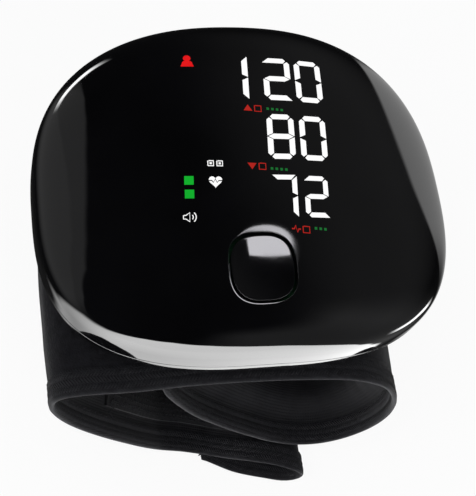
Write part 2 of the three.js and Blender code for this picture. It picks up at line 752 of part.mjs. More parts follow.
// Sleeve, centre section: fixed under the case
const centreFrom = leftHinge + hingeGapShare;
const centreTo = rightHinge - hingeGapShare;
const centreCover = layer(centreFrom, centreTo, 0, coverThickness, fabricInset);
const centreStiffener = layer(centreFrom, centreTo, stiffenerDepth, stiffenerThickness, stiffenerInset);
const centreBladder = layer(centreFrom, centreTo, bladderDepth, bladderThickness, bladderInset);
const centreLining = layer(centreFrom, centreTo, liningDepth, liningThickness, fabricInset);
add('sleeve_cover_centre', cut(centreCover, nippleHole), materials.pileBlack);
add('sleeve_stiffener_centre', cut(centreStiffener, nippleHole), materials.stiffenerWhite);
add('air_bladder_centre', centreBladder, materials.bladderGrey);
add('sleeve_lining_centre', centreLining, materials.liningGrey);
add('edge_tape_centre_front', frontTape(centreFrom, centreTo, sleeveThickness), materials.braidGrey);
add('edge_tape_centre_rear', rearTape(centreFrom, centreTo, sleeveThickness), materials.braidGrey);

// Sleeve, inner curl: the right half, swinging about the right fold line. Its bladder ends one
// point of the path before its lining, and the tape goes round its free end.
const curlFrom = rightHinge + hingeGapShare;
const curlTo = lastPoint - endGapShare;
const curlStiffenerTo = curlTo - endGapShare;
const curlCover = layer(curlFrom, curlTo, 0, coverThickness, fabricInset);
const curlStiffener = layer(curlFrom, curlStiffenerTo, stiffenerDepth, stiffenerThickness, stiffenerInset);
const curlBladder = layer(curlFrom, curlTo - 1, bladderDepth, bladderThickness, bladderInset);
const curlLining = layer(curlFrom, curlTo, liningDepth, liningThickness, fabricInset);
const curlTape = cut(
  layer(curlFrom, lastPoint, 0, sleeveThickness, 0),
  layer(curlFrom - 1, curlTo + endGapShare / 2, -overrun, sleeveThickness + overrun * 2, bindingWidth),
);
add('curl_cover', curlCover, materials.pileBlack);
add('curl_stiffener', curlStiffener, materials.stiffenerWhite);
add('curl_bladder', curlBladder, materials.bladderGrey);
add('curl_lining', curlLining, materials.liningGrey);
add('curl_edge_tape', curlTape, materials.braidGrey);

// Sleeve, closing strap: the left half, swinging about the left fold line. Its cover runs on into
// the folded-back pull loop, which lies flat on the surface below.
const strapTo = leftHinge - hingeGapShare;
const liningFrom = strapStart - liningOverlapPoints;
const hookFrom = strapStart - hookStartPoints;
const hookTo = strapStart + hookEndPoints;
const table = box(caseWidth * 2, caseWidth * 2, overrun, 0, 0, -standHeight);
const strapCover = cut(layer(0, strapTo, 0, coverThickness, fabricInset), table);
const strapLining = layer(liningFrom, strapTo, strapLiningDepth, liningThickness, fabricInset);
const hookPatch = layer(hookFrom, hookTo, strapThickness + seatGap, hookThickness, hookInset);
add('strap_cover', strapCover, materials.pileBlack);
add('strap_lining', strapLining, materials.liningGrey);
add('strap_edge_tape_front', frontTape(liningFrom, strapTo, strapThickness), materials.braidGrey);
add('strap_edge_tape_rear', rearTape(liningFrom, strapTo, strapThickness), materials.braidGrey);
add('hook_patch', hookPatch, materials.pileBlack);

export default monitor;
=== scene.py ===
"""Looks of a wrist blood pressure monitor that stands on its own closed sleeve."""
import math

import bmesh
import bpy
import numpy as np
from mathutils import Matrix, Vector


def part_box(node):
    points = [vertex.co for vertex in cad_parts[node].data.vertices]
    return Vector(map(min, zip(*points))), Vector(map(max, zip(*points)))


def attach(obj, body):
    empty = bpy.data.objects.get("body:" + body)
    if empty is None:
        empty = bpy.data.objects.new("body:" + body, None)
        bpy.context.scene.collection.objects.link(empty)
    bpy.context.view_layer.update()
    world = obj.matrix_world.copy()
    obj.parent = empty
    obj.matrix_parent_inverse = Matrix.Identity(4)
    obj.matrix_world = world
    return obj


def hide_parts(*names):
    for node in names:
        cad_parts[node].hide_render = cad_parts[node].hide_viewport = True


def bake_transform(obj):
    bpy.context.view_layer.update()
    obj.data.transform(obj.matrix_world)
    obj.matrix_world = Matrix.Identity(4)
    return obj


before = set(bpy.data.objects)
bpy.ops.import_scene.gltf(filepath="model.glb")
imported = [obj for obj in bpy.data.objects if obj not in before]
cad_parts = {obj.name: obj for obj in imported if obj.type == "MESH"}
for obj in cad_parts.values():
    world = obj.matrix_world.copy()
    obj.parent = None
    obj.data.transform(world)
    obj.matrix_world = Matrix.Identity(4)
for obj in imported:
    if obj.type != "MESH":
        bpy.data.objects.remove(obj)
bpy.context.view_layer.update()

# Camera: a short telephoto that looks down on the face from the front left, rolled a few
# degrees, at arm's length for an object this small. Lengths are in millimetres.
MM = 0.001
STAND = 91.8
camera_pitch, camera_swing, camera_roll = (math.radians(a) for a in (-22.424, 15.353, 8.106))
camera_offset, camera_reach = (4.325, 15.648), 207.805
camera_focal_share, sensor_width = 1097.08 / 496, 36


def add_object(name, data):
    added = bpy.data.objects.new(name, data)
    bpy.context.scene.collection.objects.link(added)
    return added


camera_turn = (Matrix.Rotation(camera_roll, 3, "Z") @ Matrix.Rotation(camera_pitch, 3, "X")
               @ Matrix.Rotation(camera_swing, 3, "Y")).transposed()
camera_eye = camera_turn @ Vector((-camera_offset[0], -camera_offset[1], camera_reach))
camera_data = bpy.data.cameras.new("camera")
camera_data.sensor_width = sensor_width
camera_data.lens = sensor_width * camera_focal_share
camera_data.clip_start, camera_data.clip_end = 0.01, 20
camera = add_object("camera", camera_data)
camera_place = (camera_eye.x * MM, camera_eye.y * MM, (camera_eye.z + STAND) * MM)
camera.matrix_world = Matrix.Translation(camera_place) @ camera_turn.to_4x4()
bpy.context.scene.camera = camera
bpy.context.scene.view_settings.view_transform = "Standard"


# Floor and studio: a plain pale floor that runs out of sight, two soft lamps and a pale sky for
# the cloth, and a tent of dark and lit panels that only the gloss of the case shows.
def add_node(tree, kind, inputs=(), **settings):
    """A new node with its settings. Its inputs, by name or number, get a value or a link."""
    node = tree.nodes.new(kind)
    for name, value in settings.items():
        setattr(node, name, value)
    for name, value in dict(inputs).items():
        if isinstance(value, bpy.types.NodeSocket):
            tree.links.new(value, node.inputs[name])
        else:
            node.inputs[name].default_value = value
    return node


def calc(operation, *values):
    tree = next(value.id_data for value in values if isinstance(value, bpy.types.NodeSocket))
    return add_node(tree, "ShaderNodeMath", enumerate(values), operation=operation).outputs[0]


def product(*values):
    result = values[0]
    for value in values[1:]:
        result = calc("MULTIPLY", result, value)
    return result


def ramp_between(value, start, end, low=0.0, high=1.0, shape="SMOOTHSTEP"):
    limits = {"Value": value, "From Min": start, "From Max": end, "To Min": low, "To Max": high}
    node = add_node(value.id_data, "ShaderNodeMapRange", limits, interpolation_type=shape)
    return node.outputs["Result"]


def panel(value, low, high, low_soft, high_soft):
    """1 between two values, with a soft edge at either."""
    return product(ramp_between(calc("SUBTRACT", value, low), -low_soft, low_soft),
                   ramp_between(calc("SUBTRACT", value, high), high_soft, -high_soft))


def seen_directly(tree):
    rays = tree.nodes.new("ShaderNodeLightPath").outputs
    mirrored = calc("MAXIMUM", rays["Is Glossy Ray"], rays["Is Transmission Ray"])
    return calc("MAXIMUM", rays["Is Camera Ray"], mirrored)


def bare_tree(owner, end="ShaderNodeOutputMaterial"):
    owner.use_nodes = True
    owner.node_tree.nodes.clear()
    return owner.node_tree, owner.node_tree.nodes.new(end).inputs["Surface"]


def mix_light(share, first, second, surface):
    shares = {"Fac": share, 1: first.outputs[0], 2: second.outputs[0]}
    mix = add_node(surface.id_data, "ShaderNodeMixShader", shares)
    surface.id_data.links.new(mix.outputs[0], surface)


floor_size, floor_paleness, floor_glow_share = 4.0, 0.86, 0.9
floor_mesh = bpy.data.meshes.new("studio_floor")
floor_corners = [(x * floor_size, y * floor_size, 0)
                 for x, y in ((-1, -1), (1, -1), (1, 1), (-1, 1))]
floor_mesh.from_pydata(floor_corners, [], [(0, 1, 2, 3)])
studio_floor = add_object("studio_floor", floor_mesh)
studio_floor.visible_glossy = False
floor_finish = bpy.data.materials.new("pale_floor")
tree, surface = bare_tree(floor_finish)
floor_paint = add_node(tree, "ShaderNodeBsdfDiffuse", {"Color": (*[floor_paleness] * 3, 1)})
mix_light(product(seen_directly(tree), floor_glow_share), floor_paint,
          tree.nodes.new("ShaderNodeEmission"), surface)
floor_mesh.materials.append(floor_finish)

sky = bpy.data.worlds.new("studio_sky")
bpy.context.scene.world = sky
tree, surface = bare_tree(sky, "ShaderNodeOutputWorld")
sky_light, sky_white = (add_node(tree, "ShaderNodeBackground", {"Color": (*colour, 1)})
                        for colour in ((0.42, 0.42, 0.43), (1, 1, 1)))
mix_light(seen_directly(tree), sky_light, sky_white, surface)


def soft_lamp(name, place, aim, size, watts):
    lamp_data = bpy.data.lights.new(name, "AREA")
    lamp_data.shape = "RECTANGLE"
    lamp_data.size, lamp_data.size_y = size
    lamp_data.energy = watts
    lamp = add_object(name, lamp_data)
    lamp.rotation_mode = "QUATERNION"
    lamp.rotation_quaternion = (Vector(aim) - Vector(place)).to_track_quat("-Z", "Y")
    lamp.location = place
    lamp.visible_camera = False
    return lamp


for name, place, size, watts in (("lamp_over", (-0.35, -0.25, 0.95), (0.7, 0.7), 5.2),
                                 ("lamp_front", (0.45, -0.85, 0.35), (0.6, 0.4), 3.4)):
    soft_lamp(name, place, (0, 0, 0.05), size, watts).visible_glossy = False

# The tent's panels: bearings and heights in degrees, as seen from the middle of the case
tent_radius, tent_level = 1.5, 0.08
tent_mesh = bpy.data.meshes.new("studio_tent")
shape = bmesh.new()
bmesh.ops.create_icosphere(shape, subdivisions=4, radius=tent_radius)
shape.to_mesh(tent_mesh)
shape.free()
studio_tent = add_object("studio_tent", tent_mesh)
for rays in ("camera", "diffuse", "shadow", "transmission"):
    setattr(studio_tent, f"visible_{rays}", False)
tent_finish = bpy.data.materials.new("tent_panels")
tree, surface = bare_tree(tent_finish)
tent_place = tree.nodes.new("ShaderNodeTexCoord").outputs["Object"]
east, north, up = add_node(tree, "ShaderNodeSeparateXYZ", {0: tent_place}).outputs
level = calc("SQRT", calc("ADD", product(east, east), product(north, north)))
degrees = 180 / math.pi
height = product(calc("ARCTAN2", calc("SUBTRACT", up, tent_level), level), degrees)
bearing = product(calc("ARCTAN2", east, north), degrees)
front_bearing = product(calc("ARCTAN2", east, product(north, -1.0)), degrees)


def profile(value, low, high, stops):
    """A broken line over a value: (value, result) stops, with results from low to high."""
    start, end = stops[0][0], stops[-1][0]
    along = ramp_between(value, start, end, shape="LINEAR")
    ramp = add_node(tree, "ShaderNodeValToRGB", {0: along})
    elements = ramp.color_ramp.elements
    while len(elements) < len(stops):
        elements.new(0.5)
    for element, (place, result) in zip(elements, stops):
        element.position = (place - start) / (end - start)
        element.color = (*[(result - low) / (high - low)] * 3, 1)
    return calc("MULTIPLY_ADD", ramp.outputs[0], high - low, low)


def below(top, soft):
    start = -soft if isinstance(soft, float) else product(soft, -1.0)
    return ramp_between(calc("SUBTRACT", top, height), start, soft)


def strip(bearings, middle, half_height, soft):
    """A narrow light along a line of heights, between two bearings."""
    return product(panel(bearing, *bearings, soft, soft),
                   panel(calc("SUBTRACT", height, middle), -half_height, half_height, 1.4, 1.4))


front_top = profile(front_bearing, -90.0, 40.0, (
    (-112, -62), (-92, -54), (-78, -30), (-68, -14), (-60, -12), (-52, -7), (-45, 3), (-36, 15),
    (-24, 22.5), (-7, 21.7), (3, 17.5), (11, 12.3), (17.6, 6.6), (28.4, -10.3), (43.6, -39.3),
    (60, -54), (78, -61), (92, -72)))
front_soft = ramp_between(front_bearing, -36.0, -64.0, 1.4, 9.0)
front_strength = profile(height, 0.0, 16.0, (
    (-90, 1.8), (-68, 2.7), (-60, 3.6), (-45, 6.2), (-35, 8.2), (-20, 10.8), (0, 12.2), (25, 13.6)))
front_light = product(
    below(front_top, front_soft), panel(front_bearing, -108.0, 85.0, 10.0, 14.0), front_strength,
    ramp_between(front_bearing, -84.0, -34.0, 0.38, 1.0))
front_haze = product(panel(front_bearing, -4.0, 78.0, 16.0, 14.0),
                     panel(height, -60.0, 57.0, 20.0, 10.0))

side_top = profile(bearing, -20.0, 50.0, (
    (-112, 2), (-98, 24), (-80, 39.9), (-68, 43.3), (-56.5, 43.2), (-50.6, 42.1), (-44.5, 39.2),
    (-40.4, 35.7), (-36, 28), (-30, 8)))
inner_top = profile(bearing, -20.0, 50.0, (
    (-112, -8), (-90, 22), (-70, 34.5), (-60.4, 34.2), (-55.7, 31.7), (-50.3, 24.3), (-42.4, 5.7),
    (-34, -18)))
side_reach = product(panel(bearing, -108.0, -32.0, 12.0, 4.0),
                     panel(height, -18.0, 60.0, 14.0, 1.0))
side_light = product(below(side_top, 1.6), side_reach)
side_inner = product(below(inner_top, 2.0), side_reach)

off_middle = calc("SUBTRACT", bearing, 61.0)
far_top = calc("SUBTRACT", 16.5, product(off_middle, off_middle, 0.06))
far_light = product(panel(bearing, 40.0, 80.0, 4.0, 8.0), panel(height, -60.0, far_top, 30.0, 1.5),
                    ramp_between(height, -40.0, 16.0, 0.45, 1.0))
haze = product(panel(bearing, 15.0, 125.0, 24.0, 24.0), panel(height, 12.0, 62.0, 16.0, 16.0))

back_middle = profile(bearing, -10.0, 20.0, (
    (-50, 0.5), (-42, 0), (-37, -0.8), (-33, 0.8), (-29, 3.6), (-25, 5.5), (-19.5, 9.6), (-14, 13)))
near_middle = profile(bearing, -40.0, 0.0, (
    (86, -33), (94, -28), (103.5, -24.5), (126, -23.5), (134, -23.5)))
strip_back = strip((-38.8, -23.0), back_middle, 3.8, 4.5)
strip_near = strip((97.0, 122.0), near_middle, 5.0, 5.0)
light_sum = 0.02
for light, strength in (
        (front_light, 1.0), (front_haze, 0.25), (side_light, 0.36), (side_inner, 0.09),
        (far_light, 1.5), (haze, 0.14), (strip_back, 16.0), (strip_near, 11.0)):
    light_sum = calc("ADD", light_sum, product(light, strength))
tent_glow = add_node(tree, "ShaderNodeEmission", {"Strength": light_sum})
tree.links.new(tent_glow.outputs[0], surface)
tent_mesh.materials.append(tent_finish)


# Front shell of the case: one glossy black moulding, crowned and bowed round the wrist, with the
# display behind its dark face and an opening for the button. Screwed on from below.
case_half_width, case_half_length = 42.0, 35.6
crown_height, belly_depth, wall, seat_gap = 10.1, 9.7, 1.8, 0.3
bow_across, bow_along = 9.0, 1.775
crown_power, belly_power = 5.18, 3.0
button_middle, hole_half, button_power = np.array([-2.2, -20.35]), np.array([6.45, 6.85]), 2.8
round_steps = 256
turns = np.linspace(0, 2 * math.pi, round_steps, endpoint=False)


def bow(x, y):
    return bow_across * (x / case_half_width) ** 2 + bow_along * (y / case_half_length) ** 2


def outline_power(reach):
    return 2.27 + 0.42 * reach ** 2


def reach_at(x, y, inset=0.0):
    across = np.abs(x) / (case_half_width - inset)
    along = np.abs(y) / (case_half_length - inset)
    reach = np.maximum(across, along)
    for _ in range(10):
        power = outline_power(reach)
        reach = np.minimum((across ** power + along ** power) ** (1 / power), 1.0)
    return reach


def face_level(x, y, inset=0.0):
    fall = (1 - reach_at(x, y, inset) ** crown_power) ** (1 / crown_power)
    return STAND - crown_height + (crown_height - inset) * fall - bow(x, y)


def round_outline(half, power):
    radius = (np.abs(np.cos(turns)) ** power + np.abs(np.sin(turns)) ** power) ** (-1 / power)
    return np.stack([half[0] * radius * np.cos(turns), half[1] * radius * np.sin(turns)], 1)


def case_outline(reach, inset=0.0):
    half = (case_half_width - inset, case_half_length - inset)
    return round_outline(half, outline_power(reach)) * reach


def button_outline(offset):
    """Points round the button's opening, moved out by an offset that may vary along them."""
    grown = 1 + np.outer(offset, 1 / hole_half)
    return button_middle + round_outline(hole_half, button_power) * grown


def at_level(outline, level):
    return np.column_stack([outline, np.broadcast_to(level, len(outline))])


def dome_ring(reach, rim, rise, power, inset=0.0):
    outline = case_outline(reach, inset)
    level = STAND + rim + rise * (1 - reach ** power) ** (1 / power)
    return at_level(outline, level - bow(outline[:, 0], outline[:, 1]))


def dome_reaches(power, start, count):
    """Reaches of a dome's rings up to its rim, close together in slope and in height."""
    first_turn = math.asin(start ** (power / 2))
    by_slope = np.sin(np.linspace(first_turn, math.pi / 2, count + 1)[1:]) ** (2 / power)
    by_height = (1 - np.linspace(0.03, 0.42, 14) ** power) ** (1 / power)
    return np.unique(np.concatenate([by_slope, by_height]))


def skin(rings, ends):
    """Points and faces of a closed skin over rings of points. Its ends are joined to each other,
    or each is closed: flat, with a fan, or with a strip between the two halves of its ring."""
    rings = np.asarray(rings, float)
    count, size = rings.shape[:2]
    points = [tuple(p) for p in rings.reshape(-1, 3)]
    faces = []
    for ring in range(count if ends == "joined" else count - 1):
        here, there = ring * size, (ring + 1) % count * size
        for step in range(size):
            after = (step + 1) % size
            faces.append((here + step, here + after, there + after, there + step))
    for ring in () if ends == "joined" else (0, count - 1):
        caps = [tuple(range(size))]
        if ends == "fan":
            points.append(tuple(rings[ring].mean(0)))
            caps = [(len(points) - 1 - ring * size, step, (step + 1) % size)
                    for step in range(size)]
        if ends == "strip":
            caps = [(step, step + 1, size - 2 - step, size - 1 - step)
                    for step in range(size // 2 - 1)]
        faces += [tuple(ring * size + p for p in (cap if ring else cap[::-1])) for cap in caps]
    return points, faces


def outward_faces(points, faces):
    corners = np.asarray(points)
    volume = sum(float(corners[f[0]] @ np.cross(corners[f[i]], corners[f[i + 1]]))
                 for f in faces for i in range(1, len(f) - 1))
    return faces if volume > 0 else [f[::-1] for f in faces]


def make_piece(name, skins, finish, cloth_places=None, crease=40):
    """A piece from closed skins in millimetres, with the band's own places as a UV map."""
    points, faces = [], []
    for some_points, some_faces in skins:
        shift = len(points)
        points += some_points
        faces += [tuple(i + shift for i in f) for f in outward_faces(some_points, some_faces)]
    mesh = bpy.data.meshes.new(name)
    mesh.from_pydata((np.asarray(points) * MM).tolist(), [], faces)
    if cloth_places is not None:
        corner_points = np.zeros(len(mesh.loops), np.int32)
        layer = mesh.uv_layers.new(name="cloth")
        mesh.loops.foreach_get("vertex_index", corner_points)
        places = np.asarray(cloth_places, float)[corner_points]
        layer.data.foreach_set("uv", places.astype(np.float32).ravel())
    mesh.materials.append(finish)
    mesh.shade_smooth()
    mesh.set_sharp_from_angle(angle=math.radians(crease))
    return add_object(name, mesh)


def settle(piece, where, slot, *nodes):
    """Lets a piece ride on a body, or leaves it where it is made when it is given two bodies, and
    hides the CAD nodes that it stands for. Its slot is not used."""
    if isinstance(where, str):
        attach(piece, where)
    else:
        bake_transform(piece)
    if nodes:
        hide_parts(*nodes)


def texture(tree, kind, scale, space="Object", stretch=None, **settings):
    where = tree.nodes.new("ShaderNodeTexCoord").outputs[space]
    if stretch:
        mapping = add_node(tree, "ShaderNodeMapping", {"Vector": where, "Scale": stretch})
        where = mapping.outputs[0]
    node = add_node(tree, "ShaderNodeTex" + kind, {"Scale": scale, "Vector": where})
    for setting, value in settings.items():
        if setting in node.inputs:
            node.inputs[setting].default_value = value
        else:
            setattr(node, setting, value)
    return node.outputs[{"Voronoi": "Distance", "Wave": "Color"}.get(kind, "Fac")]


def vary(tree, source, socket, low, high, span=(0.35, 0.65)):
    """Drives one socket of the finish between two values by a pattern."""
    ramp = add_node(tree, "ShaderNodeValToRGB", {0: source})
    for element, place, value in zip(ramp.color_ramp.elements, span, (low, high)):
        element.position = place
        element.color = (*(value if isinstance(value, tuple) else [value] * 3), 1)
    tree.links.new(ramp.outputs[0], tree.nodes["Principled BSDF"].inputs[socket])


def new_finish(name, constants, *patterns):
    """A finish from constants by socket, and patterns (socket, kind, scale, low, high, options).
    A Bump pattern gives a strength and a depth in millimetres, and bumps add up."""
    material = bpy.data.materials.new(name)
    material.use_nodes = True
    tree = material.node_tree
    inputs = tree.nodes["Principled BSDF"].inputs
    for socket, value in constants.items():
        inputs[socket].default_value = value
    for target, kind, scale, low, high, *more in patterns:
        options = dict(more[0]) if more else {}
        span = options.pop("span", (0.35, 0.65))
        source = texture(tree, kind, scale, **options)
        if target != "Bump":
            vary(tree, source, target, low, high, span)
            continue
        bump = add_node(tree, "ShaderNodeBump",
                        {"Strength": low, "Distance": high * MM, "Height": source})
        if inputs["Normal"].is_linked:
            tree.links.new(inputs["Normal"].links[0].from_socket, bump.inputs["Normal"])
        tree.links.new(bump.outputs[0], inputs["Normal"])
    return material


deep_black = (0.0008, 0.0008, 0.0011), (0.0016, 0.0016, 0.0021)
gloss_black = new_finish("gloss_black", {"IOR": 1.5, "Roughness": 0.05},
                         ("Base Color", "Noise", 45, *deep_black, {"Detail": 4.0}),
                         ("Roughness", "Noise", 260, 0.035, 0.06, {"Detail": 6.0}))

# The surround is wide above the button, narrow at its lower left, and runs out elsewhere
surround_lean, surround_half_span = math.radians(62), math.cos(math.radians(67))
surround_share = np.cos(turns - surround_lean) - surround_half_span
surround_share = np.clip(surround_share / (1 - surround_half_span), 0, 1)
surround_share = surround_share ** 2 * (3 - 2 * surround_share)
surround_width = (0.03 + 2.8 * surround_share
                  + np.interp(np.degrees(turns), (0, 160, 180, 215, 268, 284, 292, 360),
                              (0, 0, 0.04, 0.12, 0.12, 0.08, 0, 0)))
inner_reach, rim_step = 0.8, 0.05
rim_edge = ((0.015, 0.015), (0.06, 0.0))

opening = button_outline(surround_width + 0.02)
inner_band = case_outline(inner_reach)
rings = []
ceiling = face_level(opening[:, 0], opening[:, 1], wall)
for share in np.linspace(0, 1, 5)[:-1]:
    rings.append(at_level(opening, ceiling + share * (face_level(*opening.T) - ceiling)))
for share in np.linspace(0, 1, 46):
    outline = opening * (1 - share) + inner_band * share
    rings.append(at_level(outline, face_level(*outline.T)))
for reach in dome_reaches(crown_power, inner_reach, 29):
    rings.append(dome_ring(reach, -crown_height, crown_height, crown_power))
rim_bow = bow(*case_outline(1.0).T)
rings[-1][:, 2] += rim_step
for inset, drop in rim_edge:
    rings.append(at_level(case_outline(1.0, inset), STAND - crown_height + drop - rim_bow))
for reach in (*dome_reaches(crown_power, inner_reach, 9)[::-2], inner_reach):
    rings.append(dome_ring(reach, -crown_height, crown_height - wall, crown_power, wall))
inner_low = case_outline(inner_reach, wall)
for share in np.linspace(0, 1, 10)[1:-1]:
    outline = inner_low * (1 - share) + opening * share
    rings.append(at_level(outline, face_level(*outline.T, wall)))

# Four hollow bosses for the case screws hang from its ceiling
screw_x, screw_y, boss_radius, screw_radius = 27.5, 22.5, 2.6, 0.9
screw_places = [(sx * screw_x, sy * screw_y) for sx in (-1, 1) for sy in (-1, 1)]


def turned_skin(x, y, section, ends, steps=24):
    """A round shape from the (radius, level) pairs of its section."""
    angles = np.linspace(0, 2 * math.pi, steps, endpoint=False)
    circle = np.stack([np.cos(angles), np.sin(angles)], 1)
    return skin([np.column_stack([circle * radius + (x, y), np.full(steps, level)])
                 for radius, level in section], ends)


def tube_skin(x, y, radius, bore, bottom, top):
    section = [(bore, bottom), (radius, bottom), (radius, top), (bore, top)]
    return turned_skin(x, y, section, "joined")


boss_top = float(face_level(np.array([screw_x]), np.array([screw_y]), wall)[0]) + 0.6
boss_foot = STAND - crown_height - float(bow(screw_x, screw_y))
bosses = [tube_skin(x, y, boss_radius, screw_radius + seat_gap, boss_foot, boss_top)
          for x, y in screw_places]
front_case = make_piece("case_front_shell", [skin(rings, "joined"), *bosses], gloss_black)
settle(front_case, "case", "gloss_black", "front_shell")

# Surround of the button: a narrow ring of the same gloss black, let into the face. It dips to
# the button where a finger comes to it, and its inner lip is rounded.
surround_depth, surround_seat, cap_gap = 1.9, 1.1, 0.6
lip_radius = 0.02 + 0.1 * surround_share
surround_dip = 0.28 * surround_share
surround_gloss = new_finish("surround_gloss", {"IOR": 1.5, "Roughness": 0.2},
                            ("Base Color", "Noise", 60, *deep_black, {"Detail": 4.0}))
tree = surround_gloss.node_tree
ring_place = add_node(tree, "ShaderNodeUVMap", uv_map="cloth").outputs[0]
ring_share = add_node(tree, "ShaderNodeSeparateXYZ", {0: ring_place}).outputs["X"]
vary(tree, ring_share, "Roughness", 0.21, 0.04, span=(0.1, 0.95))


def surround_ring(share, drop):
    """Points between the button's hole, share 0, and the surround's outer edge, share 1."""
    outline = button_outline(surround_width * share)
    return at_level(outline, face_level(*outline.T) - surround_dip * (1 - share) ** 3 - drop)


rings = [surround_ring(0, drop) for drop in (surround_depth, surround_seat, lip_radius)]
shares = [0, 0, 0]
for turn in np.linspace(0, math.pi / 2, 7)[1:]:
    outline = button_outline(lip_radius * (1 - math.cos(turn)))
    share = lip_radius * (1 - math.cos(turn)) / surround_width
    drop = surround_dip * (1 - share) ** 3 + lip_radius * (1 - math.sin(turn))
    rings.append(at_level(outline, face_level(*outline.T) - drop))
    shares.append(0)
for step in np.linspace(0, 1, 18)[1:]:
    rings.append(surround_ring(lip_radius / surround_width * (1 - step) + step, 0))
    shares.append(step)
rings.append(surround_ring(1, surround_depth))
shares.append(1)
places = np.column_stack([np.repeat(shares, round_steps), np.tile(turns, len(shares))])
button_surround = make_piece("button_surround", [skin(rings, "joined")], surround_gloss, places)
settle(button_surround, "case", "gloss_black")

# Start button: a glossy black cap with a shallow dish for the fingertip, moulded in one piece
# with the stem that presses the switch. It floats in its opening with a thin gap all round.
cap_skin, stem_radius, stem_bore, edge_lean = 1.5, 1.7, 0.5, 0.7
cap_edge = np.interp(np.degrees(turns), (0, 95, 120, 160, 180, 360),
                     (0.05, 0.05, 0.2, 0.2, 0.05, 0.05))
cap_tilt, cap_curve = np.array([0.0207, 0.0779]), np.array([0.01267, 0.00789])
cap_rim = button_outline(-cap_gap - cap_edge * edge_lean)
hole_outline = button_outline(np.zeros(round_steps))
rim_level = face_level(*hole_outline.T) - surround_dip - 0.02


def node_box(node):
    """The lowest and highest corner of a CAD node in millimetres."""
    return np.array([tuple(corner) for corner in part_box(node)]) / MM


def dish_level(outline):
    """The cap's top: a tilted shallow dish whose rim meets the surround's lip."""
    reach = outline - button_middle
    return reach @ cap_tilt + reach ** 2 @ cap_curve


cap_lift = (rim_level - dish_level(hole_outline)).mean()
rings = []
for share in (*np.linspace(0.05, 0.9, 18), 0.95, 1.0):
    outline = button_middle + (cap_rim - button_middle) * share
    rings.append(at_level(outline, cap_lift + dish_level(outline)))
for turn in np.linspace(0, math.pi / 2, 7)[1:]:
    outline = button_outline(-cap_gap - cap_edge * (1 - math.sin(turn)) * edge_lean)
    drop = cap_edge * (1 - math.cos(turn))
    rings.append(at_level(outline, cap_lift + dish_level(outline) - drop))
for inset, drop in ((cap_gap, cap_skin), (cap_gap + 0.4, cap_skin + 0.02), (4.0, cap_skin + 0.02)):
    rings.append(at_level(button_outline(np.full(round_steps, -inset)), rim_level - drop))
stem_box = node_box("start_button")
stem = tube_skin(*stem_box.mean(0)[:2], stem_radius, stem_bore, stem_box[0, 2],
                 rim_level.min() - cap_skin / 2)
start_button = make_piece("start_button_cap", [skin(rings, "fan"), stem], gloss_black)
settle(start_button, "button", "gloss_black", "start_button")

# A lamp over the face that only the dished button and its surround mirror: the far corner and the
# size of its square of light, on the level that it hangs at.
touch_parts = bpy.data.collections.new("touch_parts")
touch_parts.objects.link(start_button)
touch_parts.objects.link(button_surround)
lamp_height, lamp_turn = 0.5, math.radians(1.2)
lamp_corner, lamp_size = Vector((0.167, 0.067)), Vector((0.30, 0.22))
lamp_middle = lamp_corner - Matrix.Rotation(lamp_turn, 2) @ (lamp_size / 2)
touch_lamp = soft_lamp("lamp_touch", (*lamp_middle, STAND * MM + lamp_height), (*lamp_middle, 0),
                       lamp_size, 2.85)
touch_lamp.rotation_quaternion = (Matrix.Rotation(lamp_turn, 3, "Z").to_quaternion()
                                  @ touch_lamp.rotation_quaternion)
touch_lamp.data.color = (0.96, 0.95, 1.0)
touch_lamp.visible_diffuse = False
touch_lamp.light_linking.receiver_collection = touch_parts


# Lit readings: seven-segment numbers whose light comes up through the dark face. Each bar is a
# thin plate in the face, with mitred ends and clipped outer corners.
def lit_finish(name, colour, strength):
    return new_finish(name, {"Base Color": (*[c * 0.1 for c in colour], 1), "Roughness": 0.3,
                             "Emission Color": (*colour, 1), "Emission Strength": strength},
                      ("Emission Color", "Noise", 900, tuple(c * 0.93 for c in colour), colour,
                       {"Detail": 2.0}))


lit_white = lit_finish("lit_white", (1.0, 1.0, 1.0), 0.98)
lit_red = lit_finish("lit_red", (0.8, 0.006, 0.008), 0.9)
lit_green = lit_finish("lit_green", (0.004, 0.44, 0.025), 0.9)
lit_red_dim = lit_finish("lit_red_dim", (0.5, 0.016, 0.01), 0.8)
lit_green_dim = lit_finish("lit_green_dim", (0.008, 0.17, 0.03), 0.8)
plate_depth = 0.12


def lit_plates(name, shapes, finish, plate_lift=0.07):
    """Thin closed plates in the face, one over each flat outline in millimetres."""
    skins = []
    for outline in shapes:
        outline = np.asarray(outline, float)
        level = face_level(*outline.T)
        skins.append(skin([at_level(outline, level + lift) for lift in (-plate_depth, plate_lift)],
                          "flat"))
    settle(make_piece(name, skins, finish, crease=20), "case", "light_guide")


digit_turn, digit_slant = math.radians(-0.8), math.radians(4.7)
row_slope = math.tan(math.radians(-1.8))
digit_pitch, hundreds_shift, seven_shift = 6.65, 2.15, 0.38
digit_width_share, segment_share, mitre_gap = 0.555, 0.112, 0.27
lit_bars = {"0": "abcdef", "1": "bc", "2": "abged", "7": "abc", "8": "abcdefg"}


def turned_at(middle, outline, turn):
    lean = np.array([[math.cos(turn), math.sin(turn)], [-math.sin(turn), math.cos(turn)]])
    return np.asarray(outline, float) @ lean + middle


